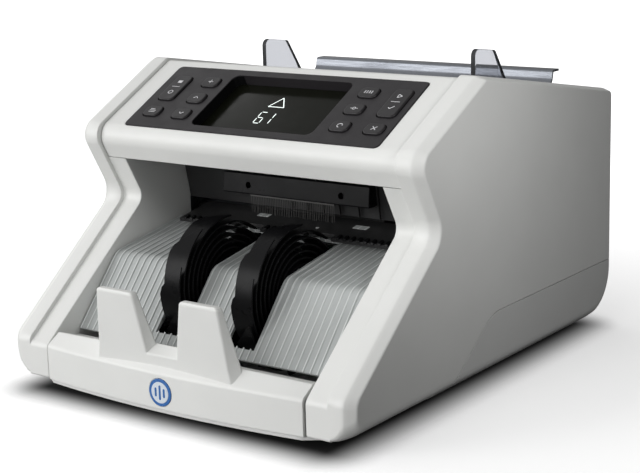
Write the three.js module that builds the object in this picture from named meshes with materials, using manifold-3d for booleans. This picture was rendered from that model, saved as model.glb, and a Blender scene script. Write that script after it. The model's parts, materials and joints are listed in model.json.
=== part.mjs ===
// Banknote counting machine, in millimetres.
// X runs to the machine's right, Y to its rear and Z up. The finished model's origin lies on the
// plane the feet stand on, under the centre of the footprint. Heights in this drawing are taken
// from a datum plane standHeight above the ground, and place() lifts every piece by that much.
import * as THREE from 'three';
import { mergeVertices } from 'three/addons/utils/BufferGeometryUtils.js';
import Module from 'manifold-3d';

const wasm = await Module();
wasm.setup();

// ---------------------------------------------------------------- driving dimensions
const halfWidth = 125;
const sideRearY = 151.5;
const rearY = 153.5;
const frontY = -150.5;
const standHeight = 2.5;
const undersideZ = 2.5;
const floorZ = 4.5;
const skin = 2.5;
const gap = 0.3;

// Across the machine, from its middle outwards.
const lipHalf = 93.8;
const plateHalf = 106;
const pocketHalf = 95;
const stripInner = 109;
const stripOuter = 119;
const footX = 84;
const footFrontY = -104;
const footRearY = 108;
const frameInner = 101;
const frameThickness = 1.5;

// Side view: sharp corners of the side face, clockwise from the one above the front bottom
// corner to the one above the rear bottom corner, [y, z].
const sideCorners = [[-139, 27.5], [-51.7, 98.7], [-75.4, 141.9], [-6.5, 177.9], [sideRearY, 151.7]];
// How far each edge stands out from the side face: front, lower slope, under the nose, display
// slope, top, rear, bottom.
const innerReach = [4.6, 0.8, 1.6, 1.4, 0.4, 2, 0];
const outerReach = [4.6, 3.2, 4.0, 3.4, 2.0, 2, 0];
const flushReach = [0, 0, 0, 0, 0, 0, 0];
// Where the side face starts to roll under, as a share of the way in to the strip.
const rollShare = 0.27;
const rollX = halfWidth - rollShare * (halfWidth - stripOuter);
const rollReach = outerReach.map((reach) => reach * rollShare);
// Corner radii from the inner edge of the strip out to the side face, for the corners in the same
// order, starting with the front bottom one.
const arcSegments = [3, 3, 5, 5, 3, 2, 5];
const innerRadii = [1.5, 5, 8, 10, 5, 3.5, 14];
const middleRadii = [4, 8, 12, 11, 5, 3.5, 14];
const outerRadii = [9, 8, 12, 11, 5, 3.5, 20];
const flushRadii = [9, 10, 14, 10, 4.5, 3, 24];
const rollRadii = flushRadii.map((radius, i) => radius + (outerRadii[i] - radius) * rollShare);

// The display slope: a frame of its own, with x across, s up the slope and w out of it.
const nose = [-75.4, 141.9];
const slopeRun = 68.9;
const slopeRise = 36;
const coverLowerEdge = 125.5;
const seamHeight = 41.6;

// Control panel, in the slope's own frame.
const panelHalf = 93.3;
const panelLow = 7.4;
const panelHigh = 70.2;
const panelTop = 1.9;
const displayHalf = 44.8;
const displayLow = 12.7;
const displayHigh = 64.5;
const displayDepth = -4.6;
const keys = [
  { name: 'key_left_tall', x: -79.9, s: 46.3, width: 12.5, height: 25 },
  { name: 'key_left_corner', x: -79.7, s: 21.8, width: 12.5, height: 9.4 },
  { name: 'key_left_upper', x: -57, s: 54.6, width: 12.5, height: 9.4 },
  { name: 'key_left_middle', x: -56.6, s: 37.8, width: 12.5, height: 9.4 },
  { name: 'key_left_lower', x: -56.8, s: 21.6, width: 12.5, height: 9.4 },
  { name: 'key_right_upper', x: 59.9, s: 55.2, width: 12.5, height: 9.4 },
  { name: 'key_right_middle', x: 59.5, s: 39, width: 12.5, height: 9.4 },
  { name: 'key_right_lower', x: 59.7, s: 22.5, width: 12.5, height: 9.4 },
  { name: 'key_right_tall', x: 82.4, s: 47.2, width: 12.5, height: 26.3 },
  { name: 'key_right_corner', x: 82.7, s: 22.6, width: 12.5, height: 9.4 },
];

// Shaft centres in the side view, [y, z].
const stackerAxis = [-68, 53];
const transportAxis = [8, 80];
const pinchAxis = [8, 99.5];
const drumAxis = [50, 96];
const retardAxis = [32, 120.5];
const feedAxis = [88, 103.5];
const motorAxis = [105, 45];

const drumRadius = 20;
const tyreRadius = 18;
const tyreNear = 18;
const tyreFar = 34;
const wheelRadius = 44.5;
const vaneCount = 10;
const vaneRoot = 8;
const vaneSweep = 5.6;
const vanePhase = 0.07;
const tipShare = 0.94;
const wheelNear = 18.5;
const wheelFar = 34.5;
const slotNear = 16.5;
const slotFar = 36.5;

// Hopper: the bent sheet, and the guides with their rack and pinion.
const hopperHalf = 97;
const hopperFrontY = 36;
const hopperRearY = 133.3;
const sheetHalf = 93.5;
const guideX = 80;
const guideThickness = 3.5;
const pinionCentre = [0, 131.5];
const pinionTeeth = 12;
const pinionModule = 1.25;
const pinionPitchRadius = pinionTeeth * pinionModule / 2;

// ---------------------------------------------------------------- materials
function plastic(color, roughness) {
  return new THREE.MeshStandardMaterial({ color, roughness, metalness: 0 });
}

function metal(color, roughness) {
  return new THREE.MeshStandardMaterial({ color, roughness, metalness: 1 });
}

const whiteShell = plastic(0xe6e7e4, 0.45);
const greyShell = plastic(0xb9bbb8, 0.5);
const charcoal = plastic(0x3f3c40, 0.5);
const keyPlastic = plastic(0x39373a, 0.55);
const displayGlass = plastic(0x14160f, 0.15);
const blackPlastic = plastic(0x17171a, 0.5);
const ribbedPlastic = plastic(0xb4baba, 0.4);
const clearPlastic = plastic(0xd6dde0, 0.1);
const blueBadge = plastic(0x3f74b5, 0.4);
const rubber = plastic(0x1b1b1b, 0.9);
const boardGreen = plastic(0x1f5a37, 0.6);
const beltRubber = plastic(0x151515, 0.8);
const sheetSteel = metal(0xa9adb0, 0.35);
const shaftSteel = metal(0xc4c7ca, 0.25);
const greyPlastic = plastic(0x8b8f92, 0.5);

// ---------------------------------------------------------------- solids
function withoutCollapsed(index) {
  const kept = [];
  for (let i = 0; i < index.length; i += 3) {
    const [a, b, c] = [index[i], index[i + 1], index[i + 2]];
    if (a !== b && b !== c && c !== a) kept.push(a, b, c);
  }
  return kept;
}

function signedVolume(position, index) {
  const corners = [new THREE.Vector3(), new THREE.Vector3(), new THREE.Vector3()];
  let volume = 0;
  for (let i = 0; i < index.length; i += 3) {
    corners.forEach((corner, k) => corner.fromBufferAttribute(position, index[i + k]));
    volume += corners[0].dot(corners[1].cross(corners[2])) / 6;
  }
  return volume;
}

// Turns a three.js geometry into a solid for cutting and joining.
function solidOf(geometry) {
  geometry.deleteAttribute('normal');
  geometry.deleteAttribute('uv');
  const merged = mergeVertices(geometry, 1e-4);
  const index = withoutCollapsed(Array.from(merged.index.array));
  if (signedVolume(merged.attributes.position, index) < 0) index.reverse();
  return new wasm.Manifold(new wasm.Mesh({
    numProp: 3,
    vertProperties: new Float32Array(merged.attributes.position.array),
    triVerts: new Uint32Array(index),
  }));
}

function geometryOf(solid) {
  const mesh = solid.getMesh();
  const geometry = new THREE.BufferGeometry();
  geometry.setAttribute('position', new THREE.BufferAttribute(new Float32Array(mesh.vertProperties), 3));
  geometry.setIndex(new THREE.BufferAttribute(new Uint32Array(mesh.triVerts), 1));
  return geometry;
}

function moved(solid, matrix) {
  const geometry = geometryOf(solid);
  geometry.applyMatrix4(matrix);
  return solidOf(geometry);
}

function mirrored(solid) {
  return moved(solid, new THREE.Matrix4().makeScale(-1, 1, 1));
}

function join(first, ...others) {
  return others.reduce((sum, other) => sum.add(other), first);
}

function cut(first, ...others) {
  return others.reduce((rest, other) => rest.subtract(other), first);
}

function box(x0, x1, y0, y1, z0, z1) {
  const geometry = new THREE.BoxGeometry(x1 - x0, y1 - y0, z1 - z0);
  geometry.translate((x0 + x1) / 2, (y0 + y1) / 2, (z0 + z1) / 2);
  return solidOf(geometry);
}

function toVectors(points) {
  return points.map(([a, b]) => new THREE.Vector2(a, b));
}

function extruded(outline, length, basis, origin) {
  const shape = new THREE.Shape(outline);
  const geometry = new THREE.ExtrudeGeometry(shape, { depth: length, bevelEnabled: false });
  const matrix = new THREE.Matrix4().makeBasis(...basis).setPosition(...origin);
  geometry.applyMatrix4(matrix);
  return solidOf(geometry);
}

const unitX = new THREE.Vector3(1, 0, 0);
const unitY = new THREE.Vector3(0, 1, 0);
const unitZ = new THREE.Vector3(0, 0, 1);

// The outline is [y, z] points.
function extrudeX(outline, x0, x1) {
  return extruded(outline, x1 - x0, [unitY, unitZ, unitX], [x0, 0, 0]);
}

// The outline is [x, z] points.
function extrudeY(outline, y0, y1) {
  return extruded(outline, y1 - y0, [unitX, unitZ, unitY.clone().negate()], [0, y1, 0]);
}

// The outline is [x, y] points.
function extrudeZ(outline, z0, z1) {
  return extruded(outline, z1 - z0, [unitX, unitY, unitZ], [0, 0, z0]);
}

const slopeLength = Math.hypot(slopeRun, slopeRise);
const slopeUp = new THREE.Vector3(0, slopeRun / slopeLength, slopeRise / slopeLength);
const slopeOut = new THREE.Vector3(0, -slopeRise / slopeLength, slopeRun / slopeLength);
const slopeFrame = new THREE.Matrix4().makeBasis(unitX, slopeUp, slopeOut).setPosition(0, ...nose);

// The outline is [x, s] points on the display slope, extruded from w0 to w1.
function extrudeSlope(outline, w0, w1) {
  return moved(extrudeZ(outline, w0, w1), slopeFrame);
}

// A shaft or roller along X. The profile is [x, radius] points from one end to the other.
function turned(profile, axis, segments = 16) {
  const ends = [[profile[0][0], 0], ...profile, [profile[profile.length - 1][0], 0]];
  const geometry = new THREE.LatheGeometry(ends.map(([x, radius]) => new THREE.Vector2(radius, x)), segments);
  geometry.rotateZ(-Math.PI / 2);
  geometry.translate(0, ...axis);
  return solidOf(geometry);
}

function rod(x0, x1, radius, axis, segments = 12) {
  return turned([[x0, radius], [x1, radius]], axis, segments);
}

// A rod along Y, centred at [x, z].
function rodY(y0, y1, radius, centre, segments = 12) {
  const geometry = new THREE.CylinderGeometry(radius, radius, y1 - y0, segments);
  geometry.translate(centre[0], (y0 + y1) / 2, centre[1]);
  return solidOf(geometry);
}

// A post along Z, centred at [x, y], that can taper from its foot to its head.
function post(centre, z0, z1, footRadius, headRadius, segments = 12) {
  const geometry = new THREE.CylinderGeometry(headRadius, footRadius, z1 - z0, segments);
  geometry.rotateX(Math.PI / 2);
  geometry.translate(centre[0], centre[1], (z0 + z1) / 2);
  return solidOf(geometry);
}

// ---------------------------------------------------------------- outlines
// The arc that rounds one corner, as points from one tangent point to the other.
function cornerArc(before, corner, after, radius, segments) {
  const arriving = corner.clone().sub(before).normalize();
  const leaving = after.clone().sub(corner).normalize();
  const turn = Math.atan2(arriving.cross(leaving), arriving.dot(leaving));
  const reach = radius * Math.tan(Math.abs(turn) / 2);
  const start = corner.clone().addScaledVector(arriving, -reach);
  const side = new THREE.Vector2(-arriving.y, arriving.x).multiplyScalar(Math.sign(turn) * radius);
  const centre = start.clone().add(side);
  const points = [];
  for (let k = 0; k <= segments; k += 1) {
    points.push(start.clone().rotateAround(centre, turn * k / segments));
  }
  return points;
}

function roundedOutline(points, radii, segments) {
  const corners = toVectors(points);
  const count = corners.length;
  return corners.flatMap((corner, i) => {
    const radius = Array.isArray(radii) ? radii[i] : radii;
    const steps = Array.isArray(segments) ? segments[i] : segments;
    if (radius === 0) return [corner];
    return cornerArc(corners[(i + count - 1) % count], corner, corners[(i + 1) % count], radius, steps);
  });
}

function roundedRectangle(x0, x1, y0, y1, radius, segments) {
  return roundedOutline([[x0, y0], [x1, y0], [x1, y1], [x0, y1]], radius, segments);
}

// Moves each edge of a clockwise polygon out by its own distance.
function offsetCorners(points, reaches) {
  const corners = toVectors(points);
  const count = corners.length;
  const lines = corners.map((corner, i) => {
    const along = corners[(i + 1) % count].clone().sub(corner).normalize();
    const outward = new THREE.Vector2(-along.y, along.x);
    return { point: corner.clone().addScaledVector(outward, reaches[i]), along };
  });
  return lines.map((line, i) => {
    const previous = lines[(i + count - 1) % count];
    const span = line.point.clone().sub(previous.point);
    const distance = span.cross(line.along) / previous.along.cross(line.along);
    const corner = previous.point.clone().addScaledVector(previous.along, distance);
    return [corner.x, corner.y];
  });
}

// The closed outline of a sheet of one thickness that follows a bent line, on its right side.
function sheetOutline(line, thickness, radii, segments = 3) {
  const points = toVectors(line);
  const last = points.length - 1;
  const normals = points.slice(0, last).map((point, i) => {
    const along = points[i + 1].clone().sub(point).normalize();
    return new THREE.Vector2(along.y, -along.x);
  });
  const offset = points.map((point, i) => {
    const first = normals[Math.max(i - 1, 0)];
    const second = normals[Math.min(i, last - 1)];
    const bisector = first.clone().add(second).normalize();
    return point.clone().addScaledVector(bisector, thickness / bisector.dot(first));
  });
  const rounded = (path) => path.flatMap((point, i) => {
    if (i === 0 || i === last || radii[i] === 0) return [point];
    return cornerArc(path[i - 1], point, path[i + 1], radii[i], segments);
  });
  return [...rounded(points), ...rounded(offset).reverse()];
}

// A solid through cross-sections that all have the same number of points.
// place turns a section's value and one outline point into [x, y, z].
function loft(sections, place) {
  const count = sections[0].outline.length;
  const positions = sections.flatMap(({ at, outline }) => outline.flatMap((p) => place(at, p)));
  const index = [];
  for (let i = 0; i + 1 < sections.length; i += 1) {
    for (let j = 0; j < count; j += 1) {
      const a = i * count + j;
      const b = i * count + (j + 1) % count;
      index.push(a, b, b + count, a, b + count, a + count);
    }
  }
  const first = THREE.ShapeUtils.triangulateShape(sections[0].outline, []);
  const last = THREE.ShapeUtils.triangulateShape(sections[sections.length - 1].outline, []);
  const start = (sections.length - 1) * count;
  first.forEach(([a, b, c]) => index.push(a, c, b));
  last.forEach(([a, b, c]) => index.push(start + a, start + b, start + c));
  const geometry = new THREE.BufferGeometry();
  geometry.setAttribute('position', new THREE.Float32BufferAttribute(positions, 3));
  geometry.setIndex(index);
  return solidOf(geometry);
}

function counterClockwise(outline) {
  return THREE.ShapeUtils.isClockWise(outline) ? outline.slice().reverse() : outline;
}

function loftX(sections) {
  const turnedSections = sections.map(({ at, outline }) => ({ at, outline: counterClockwise(outline) }));
  return loft(turnedSections, (x, point) => [x, point.x, point.y]);
}

function loftZ(sections) {
  return loft(sections, (z, point) => [point.x, point.y, z]);
}

// ---------------------------------------------------------------- housing
// One cross-section of the housing, with its underside at the given height.
function bodySection(x, reach, radii, bottom, inset = 0) {
  const reaches = reach.map((distance) => distance - inset);
  const corners = [[sideCorners[0][0], bottom], ...sideCorners, [sideRearY, bottom]];
  const outline = roundedOutline(offsetCorners(corners, reaches), radii, arcSegments);
  return { at: x, outline };
}

// Everything under the line where the lower base meets the side covers.
function belowSeam(raise) {
  const top = seamHeight + raise;
  const points = [[-59.3, -20], [-59.3, raise], [-1.6, top], [180, top], [180, -20]];
  return extrudeX(roundedOutline(points, [0, 0, 30, 0, 0], 5), -halfWidth - 5, halfWidth + 5);
}

function rightSideCover() {
  const lowest = floorZ + gap;
  const strip = loftX([
    bodySection(stripInner + 0.1, outerReach, innerRadii, lowest),
    bodySection(stripInner + 5, outerReach, middleRadii, lowest + 0.6),
    bodySection(stripOuter, outerReach, outerRadii, lowest + 2.2),
    bodySection(rollX, rollReach, rollRadii, lowest + 5.2),
    bodySection(halfWidth, flushReach, flushRadii, lowest + 8.5),
  ]);
  const cheekRegion = box(0, 130, -160, -9, 0, coverLowerEdge - 0.4);
  const cheek = loftX([
    bodySection(pocketHalf, innerReach, innerRadii, lowest),
    bodySection(stripInner + 1.4, innerReach, innerRadii, lowest),
  ]).intersect(cheekRegion);
  const hollow = loftX([
    bodySection(pocketHalf + skin, innerReach, innerRadii, lowest, skin),
    bodySection(stripInner, innerReach, innerRadii, lowest, skin),
    bodySection(stripInner + 1.2, outerReach, innerRadii, lowest, skin),
    bodySection(stripOuter - 1, outerReach, outerRadii, lowest + 2, skin),
    bodySection(halfWidth - skin, flushReach, flushRadii, lowest + 4.5, skin),
  ]);
  const shaftHole = rod(pocketHalf - 2, pocketHalf + 5, 5, stackerAxis);
  return cut(join(strip, cheek), hollow, shaftHole, belowSeam(0.4));
}

// Sections from the left side to the right one, the same on both sides of the middle.
function bothSides(rightHalf) {
  const leftHalf = rightHalf.map(({ at, outline }) => ({ at: -at, outline }));
  return [...leftHalf.reverse(), ...rightHalf];
}

function baseShell() {
  const outer = loftX(bothSides([
    bodySection(112, outerReach, middleRadii, undersideZ),
    bodySection(stripOuter, outerReach, outerRadii, undersideZ + 4.5),
    bodySection(rollX, rollReach, rollRadii, undersideZ + 7.5),
    bodySection(halfWidth, flushReach, flushRadii, undersideZ + 10.8),
  ]));
  const inside = loftX(bothSides([
    bodySection(111, outerReach, middleRadii, undersideZ, skin),
    bodySection(stripOuter - 1, outerReach, outerRadii, undersideZ + 4, skin),
    bodySection(halfWidth - skin, flushReach, flushRadii, undersideZ + 6.8, skin),
  ]));
  const plateOutline = [-plateHalf, -60, 0, 60, plateHalf].map((x) => new THREE.Vector2(x, lipFront(x) - 0.5));
  plateOutline.push(new THREE.Vector2(112, -30), new THREE.Vector2(-112, -30));
  const plate = extrudeZ(plateOutline, undersideZ, floorZ);
  const inletHole = box(inletX - 14.3, inletX + 14.3, 140, rearY + 5, inletZ - 10.3, inletZ + 10.3);
  const rockerHole = box(rockerX - 7.4, rockerX + 7.4, 140, rearY + 5, inletZ - 10.4, inletZ + 10.4);
  const shell = join(cut(outer.intersect(belowSeam(0)), inside), plate);
  return cut(shell, inletHole, rockerHole);
}

function topCover() {
  const width = stripInner - gap;
  const outer = loftX([
    bodySection(-width, innerReach, innerRadii, 7),
    bodySection(width, innerReach, innerRadii, 7),
  ]);
  const inner = loftX([
    bodySection(-width - 1, innerReach, innerRadii, -10, skin),
    bodySection(width + 1, innerReach, innerRadii, -10, skin),
  ]);
  const upper = extrudeX(toVectors([
    [-100, coverLowerEdge], [60, coverLowerEdge], [60, 146], [170, 146], [170, 200], [-100, 200],
  ]), -120, 120);
  const opening = box(-hopperHalf, hopperHalf, hopperFrontY, hopperRearY, 130, 200);
  const panelHole = extrudeSlope(
    roundedRectangle(-panelHalf - gap, panelHalf + gap, panelLow - gap, panelHigh + gap, 2.5, 2), -8, 10);
  const wall = [[34, 126], [hopperRearY + 0.1, 126], [hopperRearY + 0.1, 153.5], [34, 170]];
  const rightWall = extrudeX(toVectors(wall), hopperHalf, hopperHalf + 2.2);
  const frontWall = box(-hopperHalf - 2.2, hopperHalf + 2.2, 33.8, hopperFrontY, 135, 170);
  const skinOnly = cut(outer, inner).intersect(upper);
  return cut(join(cut(skinOnly, opening), rightWall, mirrored(rightWall), frontWall), panelHole);
}

function rearCover() {
  const width = stripInner - gap;
  const plate = box(-width, width, rearY - skin, rearY, seamHeight + 0.4, 145.6);
  const slots = [];
  for (const z of [62, 78, 94, 110]) {
    for (const x of [-66, -22, 22, 66]) {
      slots.push(box(x - 17, x + 17, 140, rearY + 5, z, z + 5));
    }
  }
  return cut(plate, ...slots);
}

// ---------------------------------------------------------------- front lip
const badgeCentre = [0, 14.8];

function lipFront(x) {
  return frontY + x * x / 1400;
}

function lipSection(x) {
  const front = lipFront(x);
  const topY = -142.7 + x * x / 1058;
  const topZ = 35.3 - x * x / 2195;
  const bottom = floorZ + gap;
  return {
    at: x,
    outline: toVectors([
      [front, bottom], [front, 25.5], [topY, topZ], [topY + 2.2, topZ - 0.4], [-127, 26.2], [-117.5, 26.2],
      [-117.5, 23.8], [-128, 23.8], [topY + 1.6, topZ - 3.4], [front + skin, 24.4], [front + skin, bottom],
    ]),
  };
}

function rightTab() {
  const section = (z, innerFront, outerFront, innerBack, outerBack, front, back) => ({
    at: z,
    outline: toVectors([[innerFront, front], [outerFront, front], [outerBack, back], [innerBack, back]]),
  });
  return loftZ([
    section(24.6, 8.6, 49.2, 2.6, 54.6, -147.4, -141.4),
    section(35, 11.2, 47.2, 6.8, 52, -148.2, -140.2),
    section(67.2, 16.8, 44.4, 16.2, 44.9, -151.3, -146.2),
    section(69.6, 18.6, 42.4, 18.6, 42.4, -151.5, -146.7),
  ]);
}

function frontLip() {
  const panel = loftX([-lipHalf, -60, -30, 0, 30, 60, lipHalf].map(lipSection));
  const tab = rightTab();
  const web = extrudeX(toVectors([[-147.4, 24.8], [-148.2, 35.2], [-141, 40.3], [-139.5, 33]]), -13, 13);
  const badgeSeat = rodY(frontY - 2, frontY + 0.8, 8.3, badgeCentre, 20);
  return cut(join(panel, tab, mirrored(tab), web), badgeSeat);
}

// ---------------------------------------------------------------- control panel
function keyOutline(key, margin) {
  const halfX = key.width / 2 + margin;
  const halfS = key.height / 2 + margin;
  return roundedRectangle(key.x - halfX, key.x + halfX, key.s - halfS, key.s + halfS, 3.2 + margin, 2);
}

function controlPanel() {
  const plate = extrudeSlope(roundedRectangle(-panelHalf, panelHalf, panelLow, panelHigh, 2.5, 2), -1.1, panelTop);
  const recessWall = extrudeSlope(
    roundedRectangle(-displayHalf - 1.5, displayHalf + 1.5, displayLow - 1.5, displayHigh + 1.5, 6.5, 3), -6, 0);
  const recess = extrudeSlope(roundedRectangle(-displayHalf, displayHalf, displayLow, displayHigh, 5, 3), -8, 5);
  const holes = keys.map((key) => extrudeSlope(keyOutline(key, 0.35), -5, 5));
  return cut(join(plate, recessWall), recess, ...holes);
}

function keySolid(key) {
  const cap = extrudeSlope(keyOutline(key, 0), -2.4, panelTop + 1.2);
  const flange = extrudeSlope(keyOutline(key, 1.1), -3.2, -1.6);
  const stem = extrudeSlope(roundedRectangle(key.x - 2, key.x + 2, key.s - 2, key.s + 2, 0, 1), -6.2, -3);
  return join(cap, flange, stem);
}

function panelBoard() {
  const board = extrudeSlope(roundedRectangle(-90, 90, 13, 66, 0, 1), -9.1, -7.6);
  const displayModule = extrudeSlope(roundedRectangle(-displayHalf, displayHalf, 18, 62, 0, 1), -7.7, -6.4);
  return join(board, displayModule);
}

function displayWindow() {
  const edge = 0.3;
  const outline = roundedRectangle(
    -displayHalf + edge, displayHalf - edge, displayLow + edge, displayHigh - edge, 4.7, 3);
  return extrudeSlope(outline, displayDepth - 1.4, displayDepth);
}

// ---------------------------------------------------------------- stacker pocket
function stackerPlate() {
  const line = [[-20, 80.2], [-81.5, 69.4], [-116.4, 29.4]];
  const plate = extrudeX(sheetOutline(line, -2, [0, 9, 0], 4), -pocketHalf + 0.5, pocketHalf - 0.5);
  const slot = box(slotNear, slotFar, -112, -25, 20, 90);
  return cut(plate, slot, mirrored(slot));
}

// A curled vane from the hub out to a tip that narrows towards the wheel's right side.
function spiralVane(startAngle, x0, x1) {
  const shares = [0, 0.1, 0.2, 0.3, 0.4, 0.5, 0.59, 0.68, 0.77, 0.86, tipShare, 1];
  const sections = shares.map((share) => {
    const half = 0.75 - 0.3 * share;
    const middle = vaneRoot + (wheelRadius - 0.8 - vaneRoot) * share;
    const left = x0 + 0.9 * (x1 - x0) * Math.max(0, (share - tipShare) / (1 - tipShare));
    const outline = toVectors([[left, middle - half], [x1, middle - half], [x1, middle + half], [left, middle + half]]);
    return { at: startAngle - vaneSweep * share, outline };
  });
  return loft(sections, (angle, point) => [
    point.x, stackerAxis[0] + point.y * Math.cos(angle), stackerAxis[1] + point.y * Math.sin(angle)]);
}

function stackerWheel(x0, x1) {
  const vanes = [];
  for (let k = 0; k < vaneCount; k += 1) {
    vanes.push(spiralVane(vanePhase + 2 * Math.PI * k / vaneCount, x0 + 0.5, x1 - 0.5));
  }
  const wheel = join(rod(x0, x1, 12, stackerAxis, 16), ...vanes);
  return cut(wheel, rod(x0 - 1, x1 + 1, 3.3, stackerAxis));
}

function exitWall() {
  const line = [[-62.5, 125.2], [-22, 121.5], [-14.3, 114.5], [-9.3, 91.2]];
  return extrudeX(sheetOutline(line, -2.2, [0, 4, 4, 0], 2), -pocketHalf + 0.5, pocketHalf - 0.5);
}

function exitPlate() {
  const plate = extrudeX(sheetOutline([[-36.6, 83.5], [-6, 88.8]], 2.2, [0, 0]), -81, 81);
  const notch = box(slotNear, slotFar, -40, -31, 75, 95);
  return cut(plate, notch, mirrored(notch));
}

function brushBar() {
  const outline = toVectors([[-23.7, 100.5], [-22.3, 113.4], [-14.6, 113.4], [-12, 100.5]]);
  const hole = rodY(-30, -19, 2, [35.1, 106.2]);
  return cut(extrudeX(outline, -55.2, 55.2), hole, mirrored(hole));
}

function brushStrip() {
  return box(-37, 27, -19.1, -17.9, 87.8, 100.2);
}

// ---------------------------------------------------------------- hopper
function hopperSheet() {
  const line = [[139.5, 166.2], [131.2, 166.2], [129.8, 160], [100, 123], [64.5, 113.6]];
  const sheet = extrudeX(sheetOutline(line, -1.5, [0, 2.5, 6, 6, 0], 2), -sheetHalf, sheetHalf);
  const tyreSlot = box(tyreNear - 2, tyreFar + 2, 70.5, 98.6, 105, 128);
  const guideSlot = box(47, 94, 104, 124, 137.4, 143.6);
  return cut(sheet, tyreSlot, mirrored(tyreSlot), guideSlot, mirrored(guideSlot));
}

// One rack bar along X with its teeth on the upper or the lower side.
// pitchZ is the height of its pitch line and side is +1 for teeth that point up.
function rackBar(x0, x1, pitchZ, side, phase) {
  const pitch = Math.PI * pinionModule;
  const root = pitchZ - side * 1.5;
  const tip = pitchZ + side * 1.0;
  const back = pitchZ - side * 5;
  const points = [[x0, back], [x0, root]];
  const firstTooth = Math.ceil((x0 + 2 - phase) / pitch);
  const lastTooth = Math.floor((x1 - 2 - phase) / pitch);
  for (let k = firstTooth; k <= lastTooth; k += 1) {
    const middle = phase + k * pitch;
    points.push([middle - 1.25, root], [middle - 0.35, tip], [middle + 0.35, tip], [middle + 1.25, root]);
  }
  points.push([x1, root], [x1, back]);
  return extrudeY(toVectors(points), 126.5, 131.5);
}

const guideBlade = roundedOutline(
  [[54.5, 114.4], [54.5, 187.2], [78.7, 184], [110, 138.6], [99, 124.9], [62, 115.4]],
  [0, 4, 4, 2, 4, 0], 2);

// The right guide, with its tab through the sheet, its carriage and its rack above the pinion.
function rightGuide() {
  const inner = guideX - guideThickness / 2;
  const outer = guideX + guideThickness / 2;
  const tab = box(inner, outer, 104, 124, 138.2, 142.8);
  const carriage = box(inner, outer, 120, 132.5, 138.2, 144);
  const rack = rackBar(-20, guideX, pinionCentre[1] + pinionPitchRadius, -1, 0);
  return join(extrudeX(guideBlade, inner, outer), tab, carriage, rack);
}

// The left guide's rack runs below the pinion.
function leftGuide() {
  const inner = -guideX + guideThickness / 2;
  const outer = -guideX - guideThickness / 2;
  const tab = box(outer, inner, 104, 124, 138.2, 142.8);
  const carriage = box(outer, inner, 120, 132.5, 118.6, 142.8);
  const rack = rackBar(-guideX, 20, pinionCentre[1] - pinionPitchRadius, 1, 0);
  return join(extrudeX(guideBlade, outer, inner), tab, carriage, rack);
}

// Teeth sit half a pitch away from the racks' teeth, straight above and below the centre.
function guidePinion() {
  const points = [];
  const root = pinionPitchRadius - 1.5;
  const tip = pinionPitchRadius + 1.0;
  for (let k = 0; k < pinionTeeth; k += 1) {
    const middle = 2 * Math.PI * (k + 0.5) / pinionTeeth + Math.PI / 2;
    for (const [radius, width] of [[root, 1.5], [tip, 0.6]]) {
      points.push([radius, middle - width / 2 / radius]);
    }
    for (const [radius, width] of [[tip, 0.6], [root, 1.5]]) {
      points.push([radius, middle + width / 2 / radius]);
    }
  }
  const outline = points.map(([radius, angle]) => new THREE.Vector2(
    pinionCentre[0] + radius * Math.cos(angle), pinionCentre[1] + radius * Math.sin(angle)));
  return cut(extrudeY(outline, 127, 131), rodY(120, 140, 2.3, pinionCentre));
}

function guideRail() {
  const rail = box(-frameInner + gap, frameInner - gap, 134.5, 137.5, 126, 137);
  return join(rail, rodY(125, 135, 2, pinionCentre));
}

// ---------------------------------------------------------------- drive
function sideFrame() {
  const outline = roundedOutline([
    [-90, 8], [-90, 56], [-72, 68], [-8, 90], [-8, 126], [22, 142], [110, 142], [140, 138], [140, 8],
  ], 5, 2);
  const plate = extrudeX(outline, frameInner, frameInner + frameThickness);
  const holes = [
    [stackerAxis, 4], [transportAxis, 4], [pinchAxis, 3.3], [drumAxis, 4.3], [retardAxis, 3.3],
    [feedAxis, 4.3], [motorAxis, 8],
  ].map(([axis, radius]) => rod(frameInner - 2, frameInner + 4, radius, axis));
  return cut(plate, ...holes);
}

function feedShaft() {
  return rod(-105, 117, 4, feedAxis);
}

function feedTyre(x0, x1) {
  return cut(rod(x0, x1, tyreRadius, feedAxis, 24), rod(x0 - 1, x1 + 1, 4.3, feedAxis));
}

function separatorDrum() {
  return turned([
    [-105, 4], [-62, 4], [-62, 18.2], [-tyreFar, 18.2], [-tyreFar, drumRadius], [-tyreNear, drumRadius],
    [-tyreNear, 18.2], [tyreNear, 18.2], [tyreNear, drumRadius], [tyreFar, drumRadius], [tyreFar, 18.2],
    [62, 18.2], [62, 4], [117, 4],
  ], drumAxis, 20);
}

function retardRoller() {
  return turned([[-105, 3], [-30, 3], [-30, 10], [30, 10], [30, 3], [105, 3]], retardAxis);
}

function transportRoller() {
  return turned([[-110, 3.7], [-50, 3.7], [-50, 11], [50, 11], [50, 3.7], [117, 3.7]], transportAxis);
}

function pinchRoller() {
  return turned([[-105, 3], [-50, 3], [-50, 8], [50, 8], [50, 3], [105, 3]], pinchAxis);
}

function stackerShaft() {
  return rod(-110, 105, 3, stackerAxis);
}

// A flat belt pulley between x0 and x1 with a low flange at each side.
function pulley(x0, x1, radius, bore, axis) {
  const flange = radius + 1.6;
  const profile = [
    [x0, flange], [x0 + 0.8, flange], [x0 + 0.8, radius], [x1 - 0.8, radius], [x1 - 0.8, flange], [x1, flange],
  ];
  return cut(turned(profile, axis), rod(x0 - 1, x1 + 1, bore, axis));
}

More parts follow.
